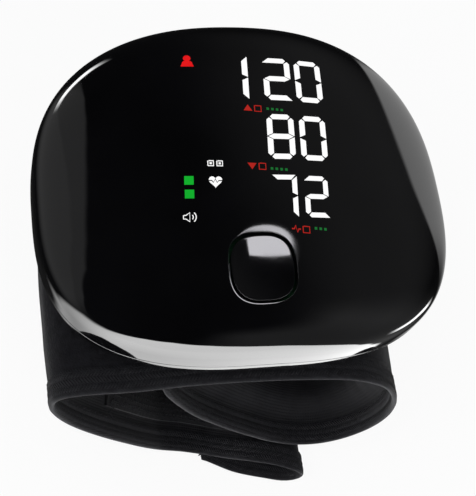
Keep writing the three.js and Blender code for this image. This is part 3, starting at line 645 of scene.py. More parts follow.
def digit_shapes(digit, height, middle):
    """Outlines of a digit's bars. A corner where two bars meet is clipped."""
    half_w, half_h, bar = height * digit_width_share / 2, height / 2, height * segment_share
    clip, gap, lit = bar * 1.12, mitre_gap / 2, lit_bars[digit]

    def level_end(neighbour, pointed):
        """The right end of the upper bar. The others are mirrored from it."""
        if neighbour in lit and digit != "7":
            return [(half_w - clip, half_h), (half_w - clip / 2 - gap, half_h - clip / 2 + gap),
                    (half_w - bar - gap, half_h - bar)]
        if neighbour in lit:
            return [(half_w - gap * 2, half_h), (half_w - bar - gap, half_h - bar)]
        if pointed:
            return [(half_w - clip, half_h), (half_w, half_h - bar)]
        return [(half_w, half_h), (half_w - bar, half_h - bar)]

    def upright_end(neighbour):
        """The upper end of the upper right bar. The others are mirrored from it."""
        if neighbour in lit and digit != "7":
            return [(half_w, half_h - clip), (half_w - clip / 2 + gap, half_h - clip / 2 - gap),
                    (half_w - bar, half_h - bar - gap)]
        if neighbour in lit:
            return [(half_w, half_h - gap * 2), (half_w - bar, half_h - bar - gap)]
        return [(half_w, half_h), (half_w - bar, half_h - bar)]

    shapes = []
    for name in lit:
        if name == "g":
            tip, shoulder = half_w - gap * 1.6, half_w - bar - gap
            shapes.append([(-tip, 0), (-shoulder, bar / 2), (shoulder, bar / 2), (tip, 0),
                           (shoulder, -bar / 2), (-shoulder, -bar / 2)])
        elif name in "ad":
            side, left, right = (1, "f", "b") if name == "a" else (-1, "e", "c")
            pointed = (digit, name) == ("2", "a")
            outline = [(-x, y) for x, y in level_end(left, pointed)]
            outline += level_end(right, pointed)[::-1]
            shapes.append([(x, y * side) for x, y in outline])
        else:
            hand, side = (1 if name in "bc" else -1), (1 if name in "bf" else -1)
            foot = [(half_w - bar, bar / 2 + gap), (half_w, gap)]
            outline = [*upright_end("a" if side == 1 else "d"), *foot]
            shapes.append([(x * hand, y * side) for x, y in outline])
    placed = []
    for outline in shapes:
        flat = np.array(outline)
        flat[:, 0] += flat[:, 1] * math.tan(digit_slant)
        placed.append(turned_at(middle, flat, digit_turn))
    return placed


rows = (("reading_upper", "120", 10.2, (13.0, 19.47)), ("reading_middle", "80", 9.9, (11.65, 6.1)),
        ("reading_lower", "72", 8.65, (10.25, -6.58)))
for name, reading, height, last_middle in rows:
    shapes = []
    for place, digit in enumerate(reading[::-1]):
        back = (place * digit_pitch + (hundreds_shift if place == 2 else 0)
                - (seven_shift if digit == "7" else 0))
        shapes += digit_shapes(digit, height, np.array(last_middle) - (back, back * row_slope))
    lit_plates(name, shapes, lit_white)


# Small lit marks: a person, a heart with its pulse line, two squares and a loudspeaker, and
# plain marks where a monitor carries its labels. All are plates in the face like the readings.
def stroke(points, width):
    """The outline of a line of even width through points."""
    line = np.asarray(points, float)
    steps = np.diff(line, axis=0)
    steps /= np.linalg.norm(steps, axis=1)[:, None]
    along = np.vstack([steps[:1], steps[:-1] + steps[1:], steps[-1:]])
    along /= np.linalg.norm(along, axis=1)[:, None]
    aside = np.stack([-along[:, 1], along[:, 0]], 1) * width / 2
    return [*(line + aside), *(line - aside)[::-1]]


def arc(middle, radius, start, end, steps=16):
    angles = np.radians(np.linspace(start, end, steps))
    return np.stack([middle[0] + radius * np.cos(angles), middle[1] + radius * np.sin(angles)], 1)


mark_turn = math.radians(-5)


def marks_at(middle, *outlines):
    return [turned_at(np.array(middle), outline, mark_turn) for outline in outlines]


def little_square(x, y, size):
    half = size / 2
    return [(x - half, y - half), (x + half, y - half), (x + half, y + half), (x - half, y + half)]


def pointer(x, y, way):
    return [(x - 0.85, y - 0.6 * way), (x + 0.85, y - 0.6 * way), (x, y + 0.75 * way)][::way]


def frame_mark(x, y, size):
    half = size / 2 - 0.1
    return stroke([(x - half, y + half), (x - half, y - half), (x + half, y - half),
                   (x + half, y + half), (x - half + 0.15, y + half)], 0.2)


person_at, heart_at, speaker_at = (-11.2, 24.3), (-9.1, -2.95), (-14.6, -9.8)
memory_at, square_places = (-10.3, 0.95), ((-14.0, -2.35), (-14.2, -5.15))
shoulders = [(-1.3, -1.3), (1.3, -1.3), *arc((0.42, -0.55), 0.6, -10, 75, 6),
             (0.3, 0.1), (-0.3, 0.1), *arc((-0.42, -0.55), 0.6, 105, 190, 6)]
head = arc((0, 0.72), 0.74, 0, 360, 25)[:-1]
lit_plates("mark_person", marks_at(person_at, head, shoulders), lit_red)
angles = np.radians(np.linspace(0, 360, 48, endpoint=False))
heart = np.stack([15 * np.sin(angles) ** 3, 13 * np.cos(angles) - 5 * np.cos(2 * angles)
                  - 2 * np.cos(3 * angles) - np.cos(4 * angles)], 1) * 0.083
lit_plates("mark_heart", marks_at(heart_at, heart), lit_white)
pulse = [(-1.35, 0.12), (-0.72, 0.12), (-0.42, -0.28), (-0.06, 0.42), (0.3, -0.3), (0.6, 0.12),
         (1.35, 0.12)]
pulse_line = marks_at(heart_at, stroke(pulse, 0.17))
lit_plates("mark_heart_pulse", pulse_line, gloss_black, plate_lift=0.18)
square = [(-0.86, -0.88), (0.86, -0.88), (0.86, 0.88), (-0.86, 0.88)]
squares = [marks_at(place, square)[0] for place in square_places]
lit_plates("mark_squares", squares, lit_green)
horn = [(-1.2, 0.36), (-1.2, -0.36), (-0.75, -0.36), (-0.05, -0.9), (-0.05, 0.9), (-0.75, 0.36),
        (-1.1, 0.36)]
waves = [stroke(arc((-0.1, 0), radius, -reach, reach, 12), 0.17)
         for radius, reach in ((0.68, 38), (1.22, 46))]
lit_plates("mark_loudspeaker", marks_at(speaker_at, stroke(horn, 0.17), *waves), lit_white)

beat = stroke([(0.1, 0), (0.6, 0), (0.85, 0.7), (1.2, -0.65), (1.45, 0), (1.85, 0)], 0.24)
label_rows = (((-1.7, 12.8), (2.75, 12.62), pointer(0.95, 0, 1), 4),
              ((-2.65, 0.05), (1.6, -0.6), pointer(0.95, 0, -1), 4),
              ((4.1, -13.15), (8.5, -13.05), beat, 3))
red_marks, green_marks = [], []
for red_at, green_at, lead, ticks in label_rows:
    red_marks += marks_at(red_at, lead, frame_mark(2.95, 0, 1.5))
    green_marks += marks_at(green_at, *(little_square(0.5 + step * 0.95, -0.05, 0.5)
                                        for step in range(ticks)))
lit_plates("label_marks_red", red_marks, lit_red_dim)
lit_plates("label_marks_green", green_marks, lit_green_dim)
memory_marks = [shape(x, 0, size) for shape, size in ((frame_mark, 1.25), (little_square, 0.4))
                for x in (0.75, 2.45)]
lit_plates("mark_memory", marks_at(memory_at, *memory_marks), lit_white)

# Rear shell of the case: the satin black half that meets the front shell at a thin parting line
# and curves to the sleeve. It carries the charging opening in its upper end wall.
satin_black = new_finish("satin_black", {},
                         ("Base Color", "Noise", 180, (0.001, 0.001, 0.0014),
                          (0.0022, 0.0022, 0.0028), {"Detail": 5.0}),
                         ("Roughness", "Noise", 700, 0.09, 0.14, {"Detail": 3.0}))
parting_gap = 0.05
rear_rim = -crown_height - parting_gap
belly_reaches = dome_reaches(belly_power, 0.0, 27)
rings = [dome_ring(reach, rear_rim, parting_gap - belly_depth, belly_power)
         for reach in belly_reaches]
rings[-1][:, 2] -= rim_step
for inset, drop in rim_edge:
    rings.append(at_level(case_outline(1.0, inset), STAND + rear_rim - drop - rim_bow))
for reach in belly_reaches[::-3]:
    rings.append(dome_ring(reach, rear_rim, seat_gap + wall - belly_depth, belly_power, wall))
rear_case = make_piece("case_rear_shell", [skin(rings, "fan")], satin_black)


def rounded_outline(half_w, half_h, radius, steps=6):
    corners = ((1, 1, 0), (-1, 1, 90), (-1, -1, 180), (1, -1, 270))
    return np.vstack([arc((sx * (half_w - radius), sy * (half_h - radius)), radius,
                          start, start + 90, steps) for sx, sy, start in corners])


def along_y(outline, y):
    return np.column_stack([outline[:, 0] + socket_middle[0], np.full(len(outline), y),
                            outline[:, 1] + socket_middle[2]])


def keep_result(piece, modifier, crease):
    """Gives a piece the mesh that its modifier makes of it."""
    bpy.context.view_layer.update()
    evaluated = piece.evaluated_get(bpy.context.evaluated_depsgraph_get())
    made, old = bpy.data.meshes.new_from_object(evaluated), piece.data
    piece.modifiers.remove(modifier)
    piece.data = made
    bpy.data.meshes.remove(old)
    made.name = piece.name
    made.shade_smooth()
    made.set_sharp_from_angle(angle=math.radians(crease))


# Openings: the charging mouth, a hole for each case screw and one for the bladder's nipple
socket_low, socket_high = node_box("charge_socket")
socket_middle, socket_half = (socket_low + socket_high) / 2, (socket_high - socket_low) / 2
mouth_outline = rounded_outline(socket_half[0] + seat_gap, socket_half[2] + seat_gap, 1.5)
mouth_outline[mouth_outline[:, 1] > 0, 1] += 2.0
cutters = [skin([along_y(mouth_outline, y)
                 for y in (socket_low[1] - seat_gap, case_half_length + 3)], "fan")]
holes = [(x, y, screw_radius + seat_gap, 8) for x, y in screw_places]
holes.append((*node_box("bladder_nipple").mean(0)[:2], 2.4, 6))
for x, y, radius, drop in holes:
    section = [(radius, STAND - crown_height - low) for low in (belly_depth + 6, drop)]
    cutters.append(turned_skin(x, y, section, "fan"))
cutter = make_piece("rear_shell_cutter", cutters, satin_black)
cut = rear_case.modifiers.new("openings", "BOOLEAN")
cut.object, cut.solver, cut.operation = cutter, "EXACT", "DIFFERENCE"
keep_result(rear_case, cut, 40)
bpy.data.objects.remove(cutter)
settle(rear_case, "case", "satin_black", "rear_shell")

# Charging socket: a drawn steel shell with round ends that is soldered to the board, with a
# plastic tongue in it. It sits just inside the end wall of the rear shell.
plated_steel = new_finish("plated_steel", {"Metallic": 1.0},
                          ("Base Color", "Noise", 300, (0.42, 0.43, 0.45), (0.6, 0.61, 0.63),
                           {"stretch": (1, 12, 12), "Detail": 5.0}),
                          ("Roughness", "Noise", 900, 0.22, 0.38, {"stretch": (1, 20, 20)}))
moulded_black = new_finish("moulded_black", {"Roughness": 0.5},
                           ("Base Color", "Noise", 400, (0.012, 0.012, 0.013),
                            (0.024, 0.024, 0.026), {"Detail": 4.0}),
                           ("Bump", "Noise", 1800, 0.3, 0.05))
socket_wall, socket_roundness = 0.35, 0.98
outer, inner = (rounded_outline(socket_half[0] - inset, socket_half[2] - inset,
                                (socket_half[2] - inset) * socket_roundness)
                for inset in (0, socket_wall))
mouth, back, back_plate, lip = socket_high[1], socket_low[1], 0.4, 0.12
section = ((1, back + back_plate), (0, back + back_plate), (0, mouth - lip), (1 / 3, mouth),
           (2 / 3, mouth), (1, mouth - lip))
shell_skin = skin([along_y(outer + (inner - outer) * share, y) for share, y in section], "joined")
back_skin = skin([along_y(outer, y) for y in (back, back + back_plate)], "fan")
charge_shell = make_piece("charge_socket_shell", [shell_skin, back_skin], plated_steel)
settle(charge_shell, "case", "steel", "charge_socket")
tongue = rounded_outline(socket_half[0] - 1.6, 0.35, 0.2)
rings = [along_y(tongue * size, y)
         for size, y in ((1, back + 0.3), (1, mouth - 0.9), (0.93, mouth - 0.8))]
charge_tongue = make_piece("charge_socket_tongue", [skin(rings, "fan")], moulded_black)
settle(charge_tongue, "case", "chip")


# Case screws: four pan-head steel screws with a cross recess, driven up into the bosses of the
# front shell from below, beside the plate.
def growing_tree(name, *measures):
    """A geometry tree that takes points or lines, some measures and a finish."""
    tree = bpy.data.node_groups.new(name, "GeometryNodeTree")
    kinds = {"Geometry": "Geometry", **dict.fromkeys(measures, "Float"), "Finish": "Material"}
    for label, kind in kinds.items():
        tree.interface.new_socket(label, in_out="INPUT", socket_type="NodeSocket" + kind)
    tree.interface.new_socket("Geometry", in_out="OUTPUT", socket_type="NodeSocketGeometry")
    return tree, tree.nodes.new("NodeGroupInput").outputs


def step_of(tree, kind, inputs=(), **settings):
    return add_node(tree, kind, inputs, **settings).outputs[0]


def join_all(tree, *sources):
    join = tree.nodes.new("GeometryNodeJoinGeometry")
    for source in sources:
        tree.links.new(source, join.inputs[0])
    return join.outputs[0]


def end_tree(tree, given, inputs):
    """Sets an instance on every point, makes them real and paints them."""
    placed = step_of(tree, "GeometryNodeInstanceOnPoints", inputs)
    real = step_of(tree, "GeometryNodeRealizeInstances", {"Geometry": placed})
    paint = {"Geometry": real, "Material": given["Finish"]}
    painted = step_of(tree, "GeometryNodeSetMaterial", paint)
    add_node(tree, "NodeGroupOutput", {0: painted})


def grow(name, points, edges, tree, settings, facing=None):
    """Runs a geometry tree on points and lines, and gives the result as a plain piece."""
    mesh = bpy.data.meshes.new(name)
    mesh.from_pydata((np.asarray(points, float) * MM).tolist(), edges, [])
    if facing is not None:
        attribute = mesh.attributes.new("facing", "FLOAT_VECTOR", "POINT")
        attribute.data.foreach_set("vector", np.asarray(facing, np.float32).ravel())
    seed = add_object(name, mesh)
    modifier = seed.modifiers.new("grow", "NODES")
    modifier.node_group = tree
    for socket in tree.interface.items_tree:
        if socket.name in settings:
            modifier[socket.identifier] = settings[socket.name]
    keep_result(seed, modifier, 45)
    return seed


screw_tree, given = growing_tree("cross_head_screws", "Head Radius", "Shank Radius", "Head Height",
                                 "Length")
head = step_of(screw_tree, "GeometryNodeMeshCylinder",
               {"Radius": given["Head Radius"], "Depth": given["Head Height"], "Vertices": 28})
shank = step_of(screw_tree, "GeometryNodeMeshCylinder",
                {"Radius": given["Shank Radius"], "Depth": given["Length"], "Vertices": 20})
cross = join_all(screw_tree, *(step_of(screw_tree, "GeometryNodeMeshCube", {"Size": size})
                               for size in ((0.0026, 0.0005, 0.0014), (0.0005, 0.0026, 0.0014))))
sunk_cross = step_of(screw_tree, "GeometryNodeTransform",
                     {"Geometry": cross, "Translation": (0, 0, -0.00085)})
recess = step_of(screw_tree, "GeometryNodeMeshBoolean", {"Mesh 1": head, "Mesh 2": sunk_cross},
                 operation="DIFFERENCE", solver="EXACT")
rise = step_of(screw_tree, "ShaderNodeCombineXYZ", {"Z": calc("MULTIPLY", given["Length"], 0.5)})
raised = step_of(screw_tree, "GeometryNodeTransform", {"Geometry": shank, "Translation": rise})
end_tree(screw_tree, given, {"Points": given["Geometry"],
                             "Instance": join_all(screw_tree, recess, raised)})
screw_low, screw_high = node_box("case_screw_1")
head_half = 0.6
screws = grow("case_screws", [(x, y, screw_low[2] + head_half) for x, y in screw_places], [],
              screw_tree, {"Head Radius": 1.9 * MM, "Shank Radius": screw_radius * MM,
                           "Head Height": head_half * 2 * MM,
                           "Length": float(screw_high[2] - screw_low[2] - head_half) * MM,
                           "Finish": plated_steel})
settle(screws, "case", "steel", "case_screw_1", "case_screw_2", "case_screw_3", "case_screw_4")

# Parts inside the case and the plate: boards with their mask and tracks, moulded chips and
# sensor, silicone tubes, the foil-wrapped cell, the steel cans and the frosted light guide.
solder_mask = new_finish("solder_mask", {"Roughness": 0.36},
                         ("Base Color", "Brick", 260, (0.012, 0.075, 0.03), (0.02, 0.12, 0.05)),
                         ("Bump", "Brick", 260, 0.4, 0.05))
silicone = new_finish("silicone", {"Roughness": 0.55, "Subsurface Weight": 0.1},
                      ("Base Color", "Noise", 240, (0.42, 0.44, 0.46), (0.54, 0.56, 0.58),
                       {"Detail": 4.0}), ("Bump", "Noise", 1500, 0.2, 0.04))
cell_foil = new_finish("cell_foil", {"Metallic": 0.7, "Roughness": 0.4},
                       ("Base Color", "Noise", 120, (0.33, 0.35, 0.38), (0.45, 0.47, 0.5),
                        {"Detail": 6.0}), ("Bump", "Voronoi", 260, 0.3, 0.1))
frosted = new_finish("frosted_guide", {"Roughness": 0.6},
                     ("Base Color", "Noise", 500, (0.72, 0.74, 0.77), (0.84, 0.86, 0.88),
                      {"Detail": 4.0}), ("Bump", "Noise", 2400, 0.3, 0.03))
for finish, names in (
        (solder_mask, ("display_board", "main_board")),
        (moulded_black, ("tact_switch", "pressure_sensor", "air_pump_head")),
        (frosted, ("display_light_guide", "switch_plunger")),
        (plated_steel, ("speaker", "air_pump_motor", "release_valve")),
        (cell_foil, ("battery_cell",)), (satin_black, ("sleeve_mount_plate",)),
        (silicone, ("button_return_pad", "air_manifold", "pump_tube", "valve_tube",
                    "bladder_nipple"))):
    for name in names:
        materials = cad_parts[name].data.materials
        materials.clear()
        materials.append(finish)

# Sleeve cover: the outer cloth of the sleeve, a short black pile. One band of it runs from the
# pull loop up the left side, under the case, round the right side and into the inner curl.
# The path holds shares of the case's half width, of the band's width toward the front, and of
# the loop's depth, or None where it follows the case.
band_width, loop_depth, plate_thickness = 70.8, 70.2, 1.2
sleeve_top = -crown_height - belly_depth - seat_gap * 2 - plate_thickness
path_shares = (
    (-0.19, -0.036, 0.99), (0.02, 0.0, 0.99), (0.22, 0.05, 0.99), (0.4, 0.08, 0.99),
    (0.51, 0.098, 0.973), (0.56, 0.102, 0.93), (0.55, 0.098, 0.888), (0.475, 0.083, 0.861),
    (0.37, 0.06, 0.855), (0.262, 0.037, 0.885), (0.155, 0.01, 0.938), (0.05, -0.014, 0.9735),
    (-0.095, -0.033, 0.975), (-0.229, -0.036, 0.937), (-0.348, -0.027, 0.843),
    (-0.483, -0.019, 0.724), (-0.633, -0.014, 0.594), (-0.771, -0.013, 0.47),
    (-0.871, -0.013, 0.359), (-0.933, -0.013, 0.259), (-0.952, -0.013, 0.197),
    (-0.948, -0.013, 0.152), (-0.936, -0.011, 0.118), (-0.89, -0.009, 0.081),
    (-0.798, -0.006, 0.055), (-0.595, 0, None), (-0.286, 0, None), (0, 0.003, None),
    (0.238, 0.006, None), (0.429, 0.01, None), (0.571, 0.013, 0.056), (0.695, 0.016, 0.118),
    (0.79, 0.016, 0.208), (0.857, 0.016, 0.302), (0.898, 0.016, 0.395), (0.917, 0.016, 0.487),
    (0.91, 0.016, 0.587), (0.871, 0.016, 0.678), (0.786, 0.016, 0.761), (0.667, 0.016, 0.803),
    (0.524, 0.013, 0.805), (0.357, 0.006, 0.761), (0.224, -0.003, 0.704), (0.09, -0.011, 0.635),
    (-0.048, -0.023, 0.561), (-0.162, -0.031, 0.486), (-0.262, -0.041, 0.402),
    (-0.352, -0.048, 0.305), (-0.429, -0.057, 0.209))
path_points = []
for across, forward, down in path_shares:
    x = across * case_half_width
    belly = belly_depth * (1 - abs(across) ** belly_power) ** (1 / belly_power)
    along_case = -crown_height - belly - bow(x, 0) - seat_gap * 2 - plate_thickness
    level = along_case if down is None else sleeve_top - down * loop_depth
    path_points.append((x, -band_width / 2 - forward * band_width, STAND + level))
path_points = np.array(path_points)
last_point = len(path_points) - 1


def path_at(at):
    """Places on the smooth line through the path's points, for an array of places along it."""
    at = np.clip(np.asarray(at, float), 0, last_point)
    start = np.minimum(at.astype(int), last_point - 1)
    share = (at - start)[:, None]
    ends = np.vstack([2 * path_points[0] - path_points[1], path_points,
                      2 * path_points[-1] - path_points[-2]])
    knots = [ends[start + k] for k in range(4)]
    moves = [there - here for here, there in zip(knots, knots[1:])]
    gaps = [np.linalg.norm(move, axis=1)[:, None] ** 0.5 for move in moves]
    lead, trail = ((moves[i] / gaps[i] - (moves[i] + moves[i + 1]) / (gaps[i] + gaps[i + 1])
                    + moves[i + 1] / gaps[i + 1]) * gaps[1] for i in range(2))
    return (knots[1] + lead * share + (3 * moves[1] - 2 * lead - trail) * share ** 2
            + (lead + trail - 2 * moves[1]) * share ** 3)


fine_at = np.linspace(0, last_point, 2401)
fine_steps = np.linalg.norm(np.diff(path_at(fine_at)[:, [0, 2]], axis=0), axis=1)
fine_run = np.concatenate([[0], np.cumsum(fine_steps)])
path_length = fine_run[-1]


def run_of(at):
    return np.interp(at, fine_at, fine_run)


def at_of(run):
    return np.interp(run, fine_run, fine_at)


def outward_at(at):
    step = 0.12
    along = path_at(np.asarray(at) + step) - path_at(np.asarray(at) - step)
    along[:, 1] = 0
    along /= np.linalg.norm(along, axis=1)[:, None]
    return np.stack([-along[:, 2], np.zeros(len(along)), along[:, 0]], 1)


def smooth(value, low, high):
    share = np.clip((value - low) / (high - low), 0, 1)
    return share * share * (3 - 2 * share)


def hump(value, start, full, fade, end):
    return smooth(value, start, full) * smooth(value, end, fade)


strap_taper, taper_margin = 20.0, 12.0
cloth_floor, yarn_floor, loop_swell = 0.06, 0.45, 0.8


def rear_trim(run):
    """How far the rear edge draws in: the strap is narrower than the rest of the band."""
    return strap_taper * (1 - smooth(at_of(run), 21.5, 26.0))


def end_rise(run):
    """The sewn end of the pull loop rises from the floor to lie against the strap above it."""
    return smooth(run, 18.0, 10.5) + 0.45 * smooth(run, 13.0, 9.0)


def on_band(run, along, depth, floor=cloth_floor):
    """Points of the band: millimetres along the path, from its front edge and under its outer
    face."""
    given = np.broadcast_arrays(np.asarray(run, float), along, depth)
    run, along, depth = (value.ravel() for value in given)
    at = at_of(run)
    depth = depth + loop_swell * hump(at, 2.5, 4.5, 6.5, 8.5)
    point = path_at(at) - outward_at(at) * depth[:, None]
    drawn_in = np.clip((along - taper_margin) / (band_width - 2 * taper_margin), 0, 1)
    point[:, 1] += along - rear_trim(run) * drawn_in
    point[:, 2] = np.maximum(point[:, 2] + end_rise(run), floor)
    return point


# Depths of the layers: thin and sewn flat at the edges, thicker over the bladder
loop_start_run, loop_end_run, strap_run, strap_seam_run, patch_seam_run, joint_run, middle_run = (
    8.8, *run_of([9.0, 12.0, 15.05, 15.8, 34.3, 27.0]))
edge_cover_depth, tape_width = 0.25, 5.2
edge_cloth, full_cloth, bladder_depth = 0.3, 0.6, 4.95
bladder_from, bladder_to = run_of([21.6, 46.6])
upper_bend, right_bend = run_of([18, 20, 22.5, 24.5]), run_of([31.5, 33.5, 36, 38.5])
strap_free, right_free = run_of([21, 23]), run_of([31, 34, 38, 40])


def edge_distance(along):
    return np.minimum(along, band_width - along)


def fullness(run, along):
    """1 over the middle of the bladder, 0 at the sewn edges and past its ends."""
    return smooth(edge_distance(along), 4.6, 12.0) * hump(
        run, bladder_from - 8, bladder_from + 6, bladder_to - 9, bladder_to + 5)


def ripple(run, along):
    """Slack of the cloth across the bends, in shares of its greatest height."""
    bend = np.maximum(hump(run, *right_bend), hump(run, *upper_bend))
    wave = (np.sin(run * 1.15 + 0.9 * np.sin(along * 0.11 + run * 0.05))
            + 0.5 * np.sin(run * 2.3 + along * 0.09 + 1.3))
    slow = (np.sin(run * 0.21 + 0.7) * np.sin(along * 0.13 + 0.4)
            + 0.6 * np.sin(run * 0.33 + along * 0.21))
    return bend * wave * 0.5 + slow * 0.35


def cover_depth(run, along):
    from_edge = edge_distance(along)
    sunk = edge_cover_depth * smooth(from_edge, tape_width + 1.4, tape_width - 0.6)
    free = np.maximum(hump(run, strap_run, strap_run + 12, *strap_free), hump(run, *right_free))
    return sunk - free * smooth(from_edge, tape_width, 14) * (0.25 + 0.22 * ripple(run, along))


def past_tape(along):
    return smooth(edge_distance(along), tape_width - 0.8, 11.0)


def cloth_thickness(along):
    """The cloth is pressed thin where the edge tape holds it."""
    return edge_cloth + (full_cloth - edge_cloth) * past_tape(along)


def inner_depth(run, along):
    """The sleeve's inner face, under its outer face."""
    lined = smooth(run, loop_end_run - 4, loop_end_run + 3)
    at_edge = (edge_cover_depth + edge_cloth * (1 + 1.15 * lined)
               - 0.25 * smooth(run, loop_start_run + 4, loop_start_run))
    thin = at_edge + (0.1 + 0.95 * lined) * past_tape(along)
    slack = (0.3 * ripple(run + 3.1, along * 1.1) * smooth(edge_distance(along), 4.0, 11.0)
             * smooth(run, strap_run, strap_run + 10))
    return thin + (bladder_depth - thin) * fullness(run, along) + slack


def cover_under(run, along):
    return cover_depth(run, along) + cloth_thickness(along)


def shifted(depth, extra):
    return lambda run, along: depth(run, along) + extra


def layer_piece(name, runs, outer, inner, inset, finish, end_round=0.0, steps=(1.1, 1.6)):
    """A closed slab of cloth between two depths. Its free end may have round corners."""
    rings, places = [], []
    for run in np.linspace(*runs, max(int((runs[1] - runs[0]) / steps[0]), 2) + 1):
        from_end = max(path_length - run - inset, 0.0)
        corner = end_round - math.sqrt(end_round ** 2 - max(end_round - from_end, 0.0) ** 2)
        along = np.linspace(inset + corner, band_width - inset - corner,
                            int((band_width - 2 * inset) / steps[1]) + 1)
        here = np.full(len(along), run)
        rings.append(np.vstack([on_band(here, along, outer(here, along)),
                                on_band(here, along, inner(here, along))[::-1]]))
        spots = np.stack([here, along], 1)
        places += [spots, spots[::-1]]
    return make_piece(name, [skin(rings, "strip")], finish, np.vstack(places), crease=60)


def cloth_finish(name, roughness, sheen, sheen_roughness, specular, *patterns):
    constants = {"Roughness": roughness, "Sheen Weight": sheen, "Sheen Roughness": sheen_roughness,
                 "Specular IOR Level": specular}
    return new_finish(name, constants, *patterns)


pile_cloth = cloth_finish("pile_cloth", 0.95, 0.04, 0.5, 0.1,
                          ("Base Color", "Noise", 900, (0.0028, 0.0028, 0.0035),
                           (0.008, 0.008, 0.0098), {"Detail": 6.0, "span": (0.3, 0.7)}),
                          ("Bump", "Noise", 140, 0.12, 0.2, {"Detail": 3.0}),
                          ("Bump", "Voronoi", 2300, 0.7, 0.12),
                          ("Bump", "Noise", 3200, 0.5, 0.08, {"Detail": 2.0}))

# The left half runs from the case to the strap, the turn from the case to the curl. Both are given
# two bodies and two points but stay where they are made; the curl rides on its own body.
sleeve_bodies = {"left": ("case", "strap", (-0.0385, 0, 0.0635), (-0.0395, 0, 0.052)),
                 "turn": ("case", "curl", (0.0345, 0, 0.0556), (0.0375, 0, 0.0432)),
                 "curl": "curl"}
sleeve_parts = {"left": (loop_start_run, middle_run - 0.02),
                "turn": (middle_run + 0.02, joint_run - 0.02),
                "curl": (joint_run + 0.02, path_length - 0.8)}
end_rounds = {"left": 0.0, "turn": 0.0, "curl": 6.0}
cover_nodes = {"left": "strap_cover", "turn": "sleeve_cover_centre", "curl": "curl_cover"}
cover_inset = 1.0
for part, runs in sleeve_parts.items():
    cover = layer_piece(f"sleeve_cover_{part}", runs, cover_depth, cover_under, cover_inset,
                        pile_cloth, end_rounds[part])
    settle(cover, sleeve_bodies[part], "pile_fabric", cover_nodes[part])

# Sleeve lining: the smooth knit that lies on the wrist, over the bladder. It is sewn to the
# cover along both edges and starts where the pull loop is folded back.
lining_knit = cloth_finish("lining_knit", 0.9, 0.03, 0.4, 0.12,
                           ("Base Color", "Noise", 260, (0.0035, 0.0035, 0.0042),
                            (0.007, 0.007, 0.008), {"Detail": 5.0}),
                           ("Bump", "Wave", 0.52, 0.35, 0.12,
                            {"space": "UV", "bands_direction": "Y", "Distortion": 1.5,
                             "Detail Scale": 2.0}),
                           ("Bump", "Wave", 0.62, 0.25, 0.1,
                            {"space": "UV", "bands_direction": "X", "Distortion": 2.0}))
lining_nodes = {"left": "strap_lining", "turn": "sleeve_lining_centre", "curl": "curl_lining"}


def lining_top(run, along):
    return inner_depth(run, along) - cloth_thickness(along)


for part, runs in sleeve_parts.items():
    lined_runs = (loop_end_run - 2 if part == "left" else runs[0], runs[1])
    lining = layer_piece(f"sleeve_lining_{part}", lined_runs, lining_top, inner_depth, cover_inset,
                         lining_knit, end_rounds[part])
    settle(lining, sleeve_bodies[part], "lining_fabric", lining_nodes[part])

# Stiffener and bladder: a thin springy plastic sheet that keeps the curl, and the air bag that
# presses on the wrist. Both lie loose between cover and lining and don't show.
stiffener_sheet = new_finish("stiffener_sheet", {"Roughness": 0.45},
                             ("Base Color", "Noise", 90, (0.5, 0.52, 0.54), (0.62, 0.64, 0.66),
                              {"Detail": 4.0}), ("Bump", "Noise", 900, 0.3, 0.05))
bladder_film = new_finish("bladder_film", {"Roughness": 0.4},
                          ("Base Color", "Noise", 150, (0.08, 0.085, 0.095), (0.12, 0.125, 0.14),
                           {"Detail": 5.0}), ("Bump", "Noise", 420, 0.4, 0.2))
stiffener_edge, bladder_edge = 13.0, 14.0
hidden_parts = {"left": (run_of(22.2), middle_run - 0.1, (), ()),
                "turn": (middle_run + 0.1, joint_run - 0.1,
                         ("sleeve_stiffener_centre",), ("air_bladder_centre",)),
                "curl": (joint_run + 0.1, bladder_to - 8, ("curl_stiffener",), ("curl_bladder",))}
for part, (*runs, sheet_nodes, bag_nodes) in hidden_parts.items():
    sheet = layer_piece(f"sleeve_stiffener_{part}", runs, shifted(cover_under, 0.25),
                        shifted(cover_under, 0.7), stiffener_edge, stiffener_sheet,
                        steps=(2.2, 4.0))
    settle(sheet, sleeve_bodies[part], "stiffener", *sheet_nodes)
    bag = layer_piece(f"sleeve_bladder_{part}", runs, shifted(cover_under, 0.95),
                      shifted(inner_depth, -0.85), bladder_edge, bladder_film, steps=(1.8, 3.0))
    settle(bag, sleeve_bodies[part], "bladder", *bag_nodes)

# Edge tape: a woven herringbone braid, folded round both long edges of the sleeve and round the
# end of the inner curl, and sewn through all layers.
tape_cloth = cloth_finish("tape_cloth", 0.9, 0.05, 0.4, 0.14,
                          ("Base Color", "Noise", 900, (0.005, 0.005, 0.006),
                           (0.012, 0.012, 0.014), {"Detail": 4.0}),
                          ("Bump", "Wave", 900, 0.4, 0.08,
                           {"bands_direction": "DIAGONAL", "Distortion": 1.0}))
tape_thickness, tape_chamfer, tape_fold, curl_corner, edge_step = 0.24, 0.08, 0.7, 7.0, 1.1
across_tape = (0.5, 1.0, 2.0, 3.6, tape_width - 0.25)


def tape_foot(route, inward):
    """How deep the tape's inner half lies under the band's outer face."""
    return inner_depth(*(route + inward * 3).T) + tape_thickness


